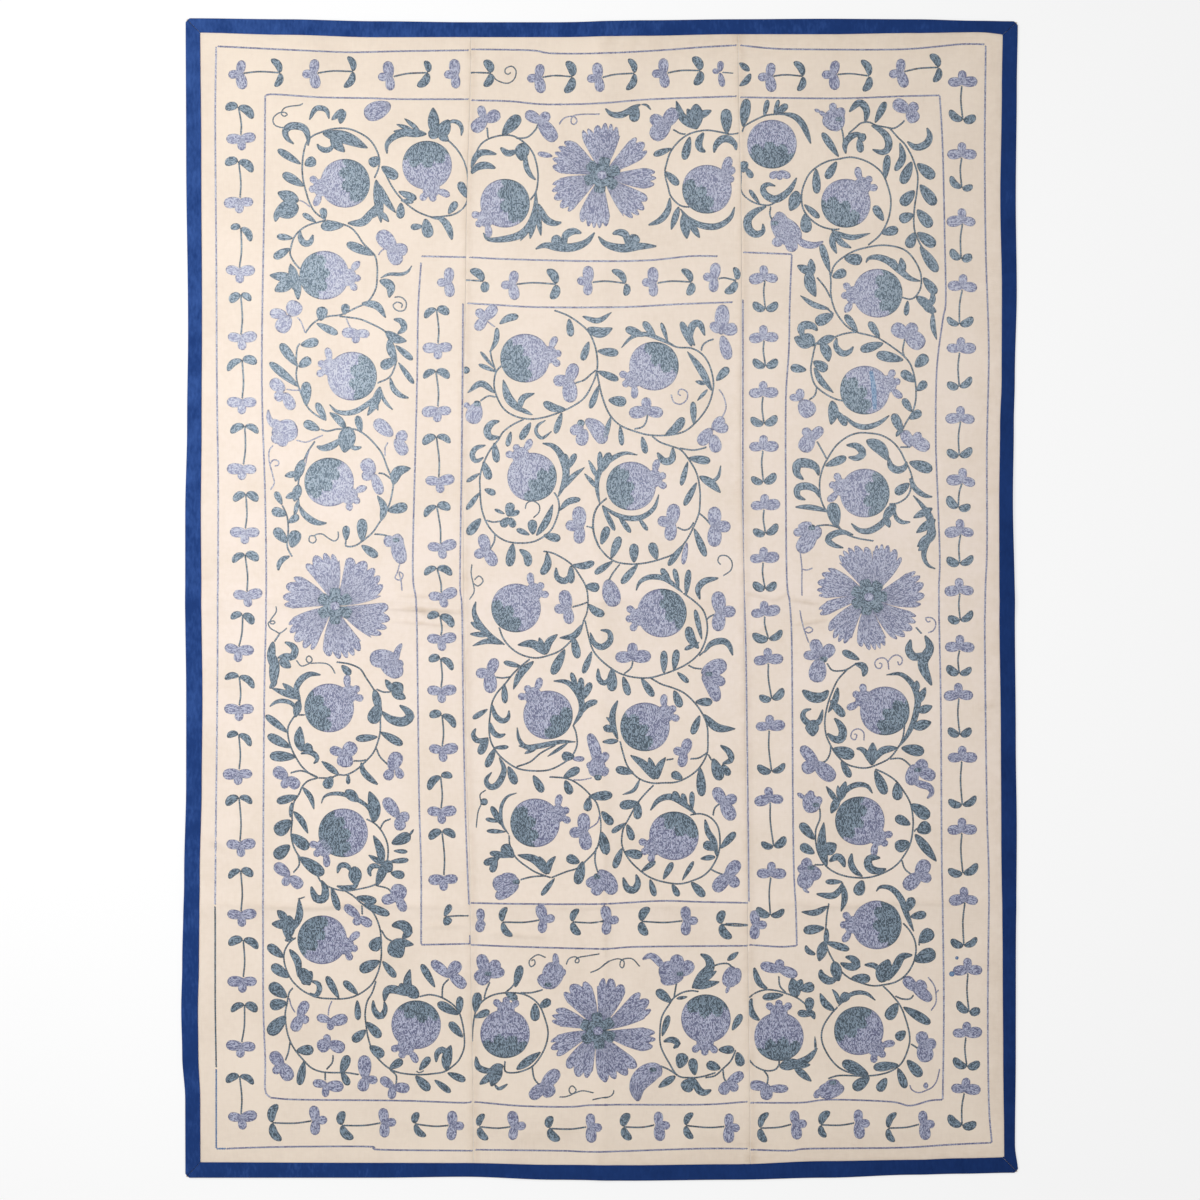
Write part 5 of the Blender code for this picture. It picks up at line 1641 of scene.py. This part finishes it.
# %% Right border, the top
RIGHT_BORDER_TOP = {
    "stems": [
        (742, 132, 745, 126, 751, 122, 759, 118, 767, 115, 779, 114, 789, 115),
        (741, 163, 741, 178, 741, 190, 747, 198, 756, 203, 766, 205, 772, 204, 778, 200, 785, 195),
        (771, 206, 770, 214, 773, 221), (868, 245, 879, 236, 886, 225, 890, 213, 891, 199, 888, 186,
         883, 174, 875, 166, 864, 160, 851, 157, 838, 159, 828, 161, 818, 166, 810, 173, 805, 182,
         802, 192, 802, 203, 805, 212, 812, 220, 821, 226, 832, 229, 840, 229),
        (840, 121, 843, 134, 844, 143),
        (848, 134, 855, 128, 861, 123, 869, 122, 876, 125, 886, 127, 894, 128, 901, 124, 905, 120),
        (889, 127, 898, 137, 905, 144, 911, 154, 915, 164, 918, 176, 917, 192, 915, 205, 914, 219,
         915, 231, 920, 243, 926, 252), (831, 276, 834, 266, 842, 258, 854, 251, 868, 247, 883, 245,
         898, 247, 908, 252, 916, 262, 921, 274, 921, 287, 916, 296, 910, 299, 902, 297),
        (829, 266, 831, 280, 831, 294, 834, 307, 840, 318, 848, 327, 857, 332, 869, 335, 880, 338),
        (817, 277, 825, 287, 831, 298), (815, 304, 826, 308, 834, 314),
    ],
    "paddles": [
        (727, 134, 726, 108, 12), (743, 127, 747, 98, 11), (764, 117, 768, 99, 6), (774, 115, 779, 99, 5),
        (776, 114, 788, 104, 8), (743, 173, 745, 160, 9), (745, 167, 753, 178, 7),
        (760, 204, 749, 189, 5), (837, 161, 826, 179, 9), (816, 168, 817, 194, 9),
        (839, 157, 822, 132, 8), (804, 204, 820, 218, 7), (805, 213, 807, 233, 12),
        (875, 123, 886, 101, 8), (912, 161, 902, 184, 11), (917, 163, 935, 178, 12),
        (920, 184, 936, 205, 12), (915, 190, 901, 205, 12), (917, 209, 932, 227, 12),
        (914, 214, 899, 220, 11), (917, 232, 936, 246, 12), (915, 232, 908, 248, 11),
        (920, 246, 938, 272, 11), (884, 221, 874, 205, 9), (881, 233, 899, 229, 10),
        (830, 272, 821, 243, 8), (832, 277, 847, 271, 10), (844, 258, 863, 260, 12),
        (923, 277, 937, 294, 10), (908, 300, 906, 316, 6), (834, 314, 815, 323, 12),
        (858, 332, 845, 314, 8), (880, 338, 869, 321, 8), (885, 180, 888, 154, 8),
        (859, 137, 861, 153, 8), (857, 136, 867, 138, 9), (900, 142, 895, 171, 8, 18),
    ],
    "blades": [
        (797, 190, 790, 211, 13, 6), (831, 230, 871, 233, 6, -14), (834, 232, 852, 248, 7, -12),
        (833, 231, 837, 254, 7, -10), (904, 273, 901, 257, 8), (897, 266, 891, 258, 6),
        (812, 273, 797, 265, 9), (812, 276, 811, 258, 9), (809, 269, 816, 297, 12, -8),
        (830, 309, 800, 295, 6, 8), (916, 296, 934, 315, 10, 8), (923, 305, 937, 312, 9),
        (750, 71, 739, 62, 7), (751, 73, 739, 86, 7, 10), (933, 312, 937, 340, 6, -6),
    ],
    "scrolls": [
        (8, 714, 153, 716, 145, 722, 139, 729, 139, 735, 144, 736, 151),
        (7, 781, 113, 794, 116, 802, 123, 807, 133, 811, 144),
        (8, 776, 186, 768, 184, 763, 188, 766, 195, 775, 199, 784, 195, 791, 188, 797, 177),
        (9, 767, 206, 756, 211, 748, 219, 749, 229, 756, 234, 763, 231, 763, 223),
        (7, 864, 136, 857, 134, 849, 138, 845, 145, 846, 154),
        (8, 865, 123, 867, 112, 864, 105, 858, 103, 849, 112),
        (8, 871, 125, 879, 129, 886, 135, 889, 143, 887, 150, 881, 152, 872, 149),
        (8, 907, 141, 916, 147, 926, 144, 930, 136, 927, 127),
        (8, 921, 281, 910, 278, 900, 270, 889, 261, 878, 257, 869, 258, 866, 263),
        (7, 922, 302, 929, 304, 933, 299, 932, 291),
    ],
    "curls": [(GREY, 722, 72, 734, 73)],
    "petals": [
        (772, 217, 799, 243, 25), (778, 211, 786, 238, 18), (779, 236, 776, 247, 11),
        (788, 234, 794, 252, 13), (840, 108, 829, 130, 23), (780, 172, 769, 177, 8),
        (778, 172, 781, 180, 7), (778, 171, 791, 177, 8), (828, 117, 819, 111, 5),
        (821, 112, 814, 109, 4), (836, 123, 843, 107, 10), (833, 113, 833, 102, 8),
        (910, 111, 893, 101, 14), (908, 112, 918, 103, 11), (908, 109, 917, 122, 14),
        (720, 72, 721, 60, 7), (720, 72, 723, 87, 7), (720, 72, 712, 70, 6),
    ],
    "lilac scrolls": [(8, 796, 236, 803, 243, 814, 245, 824, 241)],
    "hearts": [(775, 223), (839, 119)],
}
lay_out(RIGHT_BORDER_TOP)

# %% Right border above the rosette
RIGHT_BORDER_UPPER = {
    "stems": [
        (879, 338, 890, 345, 902, 354, 910, 363, 914, 374, 916, 386, 916, 399, 913, 411, 906, 423,
         902, 431), (857, 332, 847, 333, 837, 336, 828, 341, 820, 342, 816, 344, 813, 356, 811, 369,
         813, 380, 817, 387, 826, 394, 836, 399, 845, 401), (817, 387, 815, 395, 809, 400),
        (905, 339, 903, 350, 905, 358), (913, 480, 910, 470, 905, 460, 900, 450, 892, 441, 881, 435,
         869, 433, 858, 433, 847, 437, 836, 446, 828, 458, 823, 468, 820, 480, 820, 493, 822, 502,
         826, 510, 836, 523, 845, 533, 857, 538, 874, 541), (845, 533, 839, 528, 828, 525, 816, 526),
        (889, 504, 898, 503, 907, 497, 911, 488, 910, 478), (900, 447, 911, 447),
        (817, 441, 822, 450, 827, 459),
    ],
    "paddles": [
        (813, 361, 828, 370, 11), (807, 370, 790, 367, 9), (884, 343, 860, 350, 10),
        (904, 360, 876, 354, 11), (915, 367, 928, 355, 12), (916, 382, 901, 371, 10),
        (917, 391, 927, 381, 9), (912, 412, 903, 398, 8), (909, 419, 922, 411, 9),
        (903, 434, 893, 413, 10), (825, 466, 847, 457, 9), (910, 483, 895, 494, 10),
        (909, 462, 933, 470, 12), (837, 528, 832, 502, 14), (836, 410, 847, 426, 8),
    ],
    "blades": [
        (814, 367, 834, 393, 7, -8), (832, 400, 831, 425, 11, 8), (901, 429, 896, 437, 5),
        (812, 346, 794, 337, 13), (803, 334, 815, 346, 13), (821, 342, 829, 362, 11, 8),
        (835, 336, 816, 344, 9), (866, 440, 889, 461, 13, 12), (896, 504, 883, 520, 10),
        (886, 517, 890, 528, 7), (933, 508, 913, 518, 8), (936, 519, 916, 533, 9),
        (933, 534, 917, 547, 9), (928, 543, 918, 551, 6), (923, 507, 932, 530, 8, 10),
        (932, 524, 926, 545, 10, 10),
    ],
    "scrolls": [
        (9, 818, 331, 813, 326, 805, 325, 801, 329, 804, 338),
        (7, 837, 337, 836, 346, 842, 353, 849, 352, 854, 346),
        (6, 844, 415, 854, 424, 866, 427, 879, 423, 890, 415),
        (10, 819, 476, 816, 467, 807, 463, 798, 464, 797, 473, 804, 480),
        (8, 820, 498, 816, 490, 807, 486, 798, 488, 798, 496, 806, 500),
        (6, 829, 512, 820, 509, 808, 507, 795, 507),
        (7, 854, 535, 842, 532, 832, 535, 828, 540, 834, 545, 844, 548),
        (7, 895, 508, 886, 519, 879, 526, 869, 531, 859, 530, 851, 523),
        (5, 895, 509, 896, 517, 902, 522, 911, 522),
        (8, 889, 457, 891, 466, 898, 470, 905, 467, 907, 461),
        (8, 846, 445, 857, 446, 863, 453, 857, 458, 848, 457),
        (6, 911, 477, 915, 488, 924, 495, 933, 497),
        (7, 913, 495, 922, 505, 930, 517, 932, 532, 926, 545, 924, 556, 928, 565, 936, 569),
    ],
    "curls": [(LILAC, 800, 549, 802, 567, 802, 580, 802, 596), (LILAC, 802, 569, 807, 570, 813, 568)],
    "petals": [
        (802, 400, 799, 388, 9), (804, 398, 789, 397, 8), (800, 400, 813, 416, 18),
        (909, 337, 892, 325, 15), (906, 337, 916, 323, 13), (905, 331, 924, 347, 18),
        (912, 447, 903, 430, 12), (912, 444, 921, 432, 9), (909, 437, 930, 449, 14),
        (813, 439, 803, 428, 10), (809, 441, 823, 427, 11), (813, 433, 802, 452, 16),
        (814, 526, 798, 552, 17, 8), (806, 531, 793, 533, 9), (809, 530, 822, 535, 14),
        (807, 533, 804, 521, 15),
    ],
    "hearts": [(812, 528)],
}
lay_out(RIGHT_BORDER_UPPER)

# %% Right border below the rosette
RIGHT_BORDER_LOWER = {
    "stems": [
        (827, 663, 832, 670, 840, 671, 848, 669, 857, 663), (848, 669, 838, 680, 831, 695, 827, 708,
         825, 721, 826, 734, 830, 744, 836, 754, 845, 763, 855, 767, 867, 768, 879, 764, 890, 758,
         898, 748, 903, 738, 905, 723), (831, 746, 830, 754, 826, 761, 818, 764),
        (890, 759, 902, 759, 912, 767), (916, 627, 922, 634), (875, 769, 886, 774, 896, 781, 903, 790,
         910, 802, 913, 816, 913, 830, 910, 845, 902, 859, 893, 868, 879, 875, 865, 878, 849, 877,
         836, 873, 826, 866, 819, 855, 816, 843, 816, 830, 820, 819, 820, 808), (814, 865, 824, 865),
        (902, 860, 905, 869, 912, 875), (914, 832, 917, 829, 923, 828),
    ],
    "paddles": [
        (860, 660, 842, 651, 8), (830, 700, 845, 717, 9), (832, 749, 855, 756, 13),
        (841, 761, 851, 778, 8), (901, 748, 925, 752, 12), (875, 770, 886, 795, 11),
        (897, 782, 898, 801, 11), (911, 804, 930, 818, 13), (911, 825, 895, 817, 10),
        (917, 832, 931, 825, 14), (910, 842, 895, 849, 13), (815, 840, 800, 823, 10),
        (815, 854, 800, 845, 10), (863, 880, 857, 896, 12), (843, 882, 825, 882, 6),
    ],
    "blades": [
        (838, 687, 828, 713, 7, 8), (915, 834, 937, 862, 10), (827, 867, 824, 822, 10, 8),
        (823, 853, 837, 844, 14), (872, 766, 873, 742, 11), (917, 692, 917, 680, 7),
        (918, 704, 926, 687, 8), (918, 712, 933, 706, 9), (913, 728, 932, 722, 11),
        (812, 720, 813, 737, 14), (818, 721, 805, 729, 9), (840, 801, 846, 781, 9),
        (839, 799, 838, 785, 5), (838, 803, 826, 786, 6), (839, 797, 831, 814, 9),
    ],
    "scrolls": [
        (8, 855, 664, 863, 666, 865, 671, 863, 677),
        (7, 898, 748, 907, 736, 914, 721, 918, 703, 916, 691, 910, 681, 900, 674, 886, 675),
        (9, 827, 733, 834, 739, 841, 739, 843, 731, 839, 723, 834, 718),
        (7, 812, 709, 805, 711, 803, 717, 808, 723, 815, 724, 820, 720, 823, 709),
        (11, 802, 690, 812, 697, 822, 697, 829, 690), (6, 870, 763, 866, 753, 861, 749, 856, 749),
        (8, 875, 761, 881, 752, 889, 749, 898, 748), (8, 829, 862, 837, 857, 842, 860, 845, 868),
        (7, 852, 853, 851, 863, 855, 871, 863, 877),
        (9, 887, 869, 878, 871, 871, 869, 868, 863, 871, 858, 881, 858),
        (6, 839, 803, 846, 791, 856, 785, 867, 786, 873, 794),
        (9, 927, 653, 915, 657, 909, 650, 911, 639), (11, 925, 635, 930, 648, 923, 664, 932, 686),
        (7, 843, 882, 840, 890, 832, 896, 816, 894),
    ],
    "curls": [
        (LILAC, 800, 610, 802, 621, 805, 632, 809, 643),
        (LILAC, 804, 630, 809, 627, 813, 630, 809, 633, 805, 631),
        (LILAC, 928, 633, 934, 630, 936, 623, 932, 618, 926, 618, 928, 622, 931, 621),
        (LILAC, 889, 670, 888, 662, 884, 658, 878, 659, 875, 663, 877, 668, 881, 668, 882, 664, 879, 663),
        (LILAC, 888, 662, 892, 657, 897, 655, 902, 658, 902, 663, 899, 665, 898, 661),
        (LILAC, 864, 741, 864, 733, 859, 729, 853, 731, 851, 737, 855, 740, 857, 735, 854, 734),
    ],
    "petals": [
        (821, 657, 813, 639, 13), (821, 659, 834, 645, 13), (822, 656, 803, 655, 10),
        (820, 658, 816, 683, 18), (819, 767, 801, 746, 12), (818, 762, 802, 771, 14),
        (814, 762, 835, 780, 16), (914, 770, 928, 762, 13), (914, 764, 911, 786, 14),
        (916, 769, 936, 778, 13), (812, 868, 802, 860, 12), (812, 871, 797, 868, 10),
        (807, 866, 820, 879, 14), (811, 867, 802, 889, 17), (807, 793, 815, 813, 18),
        (807, 800, 797, 793, 5), (812, 800, 810, 790, 8), (817, 807, 820, 796, 8),
        (917, 878, 928, 860, 15), (922, 873, 904, 889, 15), (916, 874, 932, 880, 11),
    ],
    "lilac scrolls": [
        (8, 911, 780, 920, 784, 929, 787, 932, 793, 927, 799), (4, 803, 886, 806, 891, 810, 893),
    ],
    "hearts": [(824, 659), (918, 770), (811, 868), (816, 805)],
}
lay_out(RIGHT_BORDER_LOWER)

# %% Right border, the corner
RIGHT_BORDER_BOTTOM = {
    "stems": [
        (829, 903, 827, 915, 826, 928, 825, 938, 828, 950, 833, 960, 840, 970, 849, 978, 861, 983,
         873, 986, 884, 985, 896, 982, 906, 975, 913, 964, 916, 952, 915, 941, 910, 931, 903, 923),
        (843, 884, 840, 893, 836, 897), (883, 986, 892, 995, 901, 1007, 907, 1023, 910, 1038, 908, 1050,
         902, 1063, 892, 1071, 879, 1075, 865, 1076, 850, 1073, 838, 1067, 828, 1055, 822, 1041,
         823, 1028, 830, 1016, 838, 1007), (895, 996, 902, 999, 910, 999, 914, 995),
        (911, 1044, 920, 1050), (828, 1079, 838, 1076, 853, 1076, 869, 1077),
        (919, 946, 920, 938, 924, 934), (779, 976, 780, 986, 786, 993),
        (749, 998, 756, 993, 766, 990, 777, 991, 787, 994, 797, 998, 806, 1005, 811, 1012),
        (749, 1060, 756, 1067, 766, 1071, 775, 1070, 779, 1065, 779, 1059),
        (764, 1071, 768, 1077, 767, 1086), (736, 1050, 731, 1061, 723, 1069, 715, 1076, 705, 1078),
        (723, 1069, 724, 1078, 727, 1083), (714, 966, 721, 964, 728, 964, 733, 968),
    ],
    "paddles": [
        (825, 928, 803, 931, 10), (825, 942, 850, 950, 8), (851, 978, 871, 979, 10),
        (919, 943, 933, 930, 14), (914, 961, 936, 952, 15), (898, 1003, 887, 1020, 12),
        (903, 1007, 931, 1024, 10), (906, 1031, 896, 1040, 10), (907, 1060, 922, 1077, 11),
        (899, 1065, 873, 1068, 10), (898, 1068, 906, 1089, 9), (887, 1078, 878, 1092, 10),
        (870, 1077, 853, 1090, 12), (869, 1075, 842, 1062, 12), (784, 995, 762, 998, 8),
        (800, 990, 815, 986, 11), (809, 1013, 810, 997, 10), (813, 1015, 797, 1013, 8),
        (718, 1050, 735, 1050, 9), (737, 1052, 742, 1067, 10), (721, 1069, 706, 1064, 10),
        (732, 1031, 742, 1014, 8), (907, 912, 913, 897, 10), (910, 917, 927, 914, 9),
        (840, 1003, 849, 993, 10),
    ],
    "blades": [
        (843, 884, 841, 912, 7, 10), (828, 906, 801, 912, 7, 14), (827, 928, 826, 948, 6),
        (825, 941, 819, 962, 11), (834, 961, 839, 982, 12), (880, 983, 889, 959, 17),
        (839, 1005, 832, 989, 5, -10), (835, 1011, 820, 993, 8, 12), (797, 998, 792, 978, 13),
        (797, 991, 802, 979, 9), (811, 1010, 815, 1020, 6), (779, 1067, 802, 1062, 12),
        (791, 1064, 818, 1048, 8, -14), (816, 1053, 815, 1036, 3), (794, 1066, 811, 1065, 7),
        (794, 1067, 812, 1082, 8), (727, 961, 739, 952, 6), (717, 983, 703, 982, 4),
    ],
    "scrolls": [
        (6, 806, 945, 808, 951, 816, 955), (9, 845, 957, 853, 959, 857, 965, 850, 967, 840, 963),
        (9, 838, 979, 829, 981, 822, 976, 821, 969),
        (7, 876, 892, 881, 887, 892, 889, 901, 899, 907, 915, 914, 932),
        (6, 882, 974, 875, 966, 864, 965), (9, 888, 981, 896, 967, 902, 957, 913, 955),
        (5, 838, 1007, 846, 998, 856, 993, 867, 994, 876, 1001),
        (7, 768, 989, 761, 985, 757, 978, 754, 967), (8, 752, 998, 750, 1007, 753, 1015, 760, 1021),
    ],
    "curls": [
        (LILAC, 928, 977, 934, 985, 936, 993, 936, 1003, 931, 1011), (LILAC, 936, 993, 939, 990),
        (LILAC, 910, 1085, 912, 1090, 919, 1093, 928, 1090, 933, 1087, 937, 1081, 940, 1069),
    ],
    "petals": [
        (917, 991, 904, 977, 12), (915, 991, 926, 982, 13), (910, 983, 932, 1001, 12),
        (924, 1048, 921, 1031, 13), (921, 1046, 937, 1043, 12), (923, 1041, 927, 1063, 17),
        (845, 1088, 818, 1093, 17), (838, 1080, 829, 1094, 18), (820, 1089, 815, 1099, 7),
        (782, 971, 760, 965, 11), (779, 972, 780, 959, 10), (777, 968, 798, 976, 11),
        (769, 1087, 749, 1085, 11), (767, 1089, 789, 1089, 9), (766, 1083, 767, 1101, 13),
        (726, 1085, 744, 1073, 11), (729, 1081, 721, 1095, 12), (728, 1082, 738, 1091, 10),
        (733, 966, 728, 988, 16), (739, 968, 731, 985, 14), (730, 984, 726, 994, 4),
        (923, 1086, 929, 1086, 7),
    ],
    "hearts": [(833, 1083), (797, 985)],
    "sky spots": [(957, 958, 2), (952, 974, 3)],
}
lay_out(RIGHT_BORDER_BOTTOM)

# %% [markdown]
# ## Sewing it down
# Each collected bmesh is still flat. It is lifted onto the cloth's relief with the same function that
# shaped the cotton, so the rows dip and rise with every crease, and becomes one piece for each strip and
# kind of work.

# %% Seat the needlework on the cotton
triangles = 0
for (strip, work), bm in sorted(needlework.items()):
    places = np.array([vertex.co for vertex in bm.verts])
    places[:, 2] += underside(places[:, 0], places[:, 1]) + GROUND + CLEARANCE
    for vertex, place in zip(bm.verts, places):
        vertex.co = place
    bmesh.ops.recalc_face_normals(bm, faces=bm.faces)
    stitched = piece(f"needlework_{STRIP_NAMES[strip]}_{work}", bm, THREADS)
    triangles += 2 * len(stitched.data.polygons)
    print(stitched.name, 2 * len(stitched.data.polygons), "triangles")
print(len(patches), "patches,", sum(count for _, count in patches), "stitches,", triangles, "triangles")

# %% [markdown]
# ## Floor, light and camera
# The cloth lies on a plain pale floor. A broad soft light from the left rakes the relief and leaves the
# right side a little darker, and a weak overhead light and a pale surround fill the shadows. The camera
# looks straight down through a long lens, far enough away for the outline to stay true.

# %% Floor
bm = bmesh.new()
bmesh.ops.create_grid(bm, x_segments=1, y_segments=1, size=6.0)
bmesh.ops.translate(bm, vec=(0.0, 0.0, -0.0003), verts=bm.verts)
floor_mesh = bpy.data.meshes.new("floor")
bm.to_mesh(floor_mesh)
bm.free()
floor = bpy.data.objects.new("floor", floor_mesh)
bpy.context.scene.collection.objects.link(floor)
floor_finish = Finish("floor_pale", roughness=0.9, specular=0.1)
floor_finish.shader.inputs["Base Color"].default_value = (0.35, 0.35, 0.35, 1.0)
floor_finish.shader.inputs["Emission Color"].default_value = (1.0, 1.0, 1.0, 1.0)
floor_finish.shader.inputs["Emission Strength"].default_value = 0.62
floor.data.materials.append(floor_finish.material)
print("floor:", [round(side, 1) for side in floor.dimensions[:2]], "m")


# %% Lights
def soft_light(name, place, size, power):
    """A square area light that looks at the cloth's middle."""
    data = bpy.data.lights.new(name, "AREA")
    data.size = size
    data.energy = power
    lamp = bpy.data.objects.new(name, data)
    lamp.location = place
    lamp.rotation_mode = "QUATERNION"
    lamp.rotation_quaternion = (-lamp.location).to_track_quat("-Z", "Y")
    bpy.context.scene.collection.objects.link(lamp)


soft_light("light_left", (-1.5, 0.5, 2.2), 1.0, 43.0)
soft_light("light_above", (0.8, -0.2, 3.0), 3.0, 27.0)
world = bpy.data.worlds.new("surround")
world.use_nodes = True
world.node_tree.nodes["Background"].inputs["Color"].default_value = (1.0, 1.0, 1.0, 1.0)
world.node_tree.nodes["Background"].inputs["Strength"].default_value = 0.37
bpy.context.scene.world = world
bpy.context.scene.view_settings.view_transform = "Standard"

# %% Camera
PHOTO_SIDE = 1200
camera_data = bpy.data.cameras.new("camera")
camera_data.lens = 85.0
camera_data.sensor_width = 36.0
view_side = PHOTO_SIDE * PIXEL * MM
distance = view_side * camera_data.lens / camera_data.sensor_width
camera = bpy.data.objects.new("camera", camera_data)
camera.location = (*(at(PHOTO_SIDE / 2, PHOTO_SIDE / 2) * MM), distance + STACK * MM)
bpy.context.scene.collection.objects.link(camera)
bpy.context.scene.camera = camera
print("the camera is", round(distance, 2), "m above the cloth")
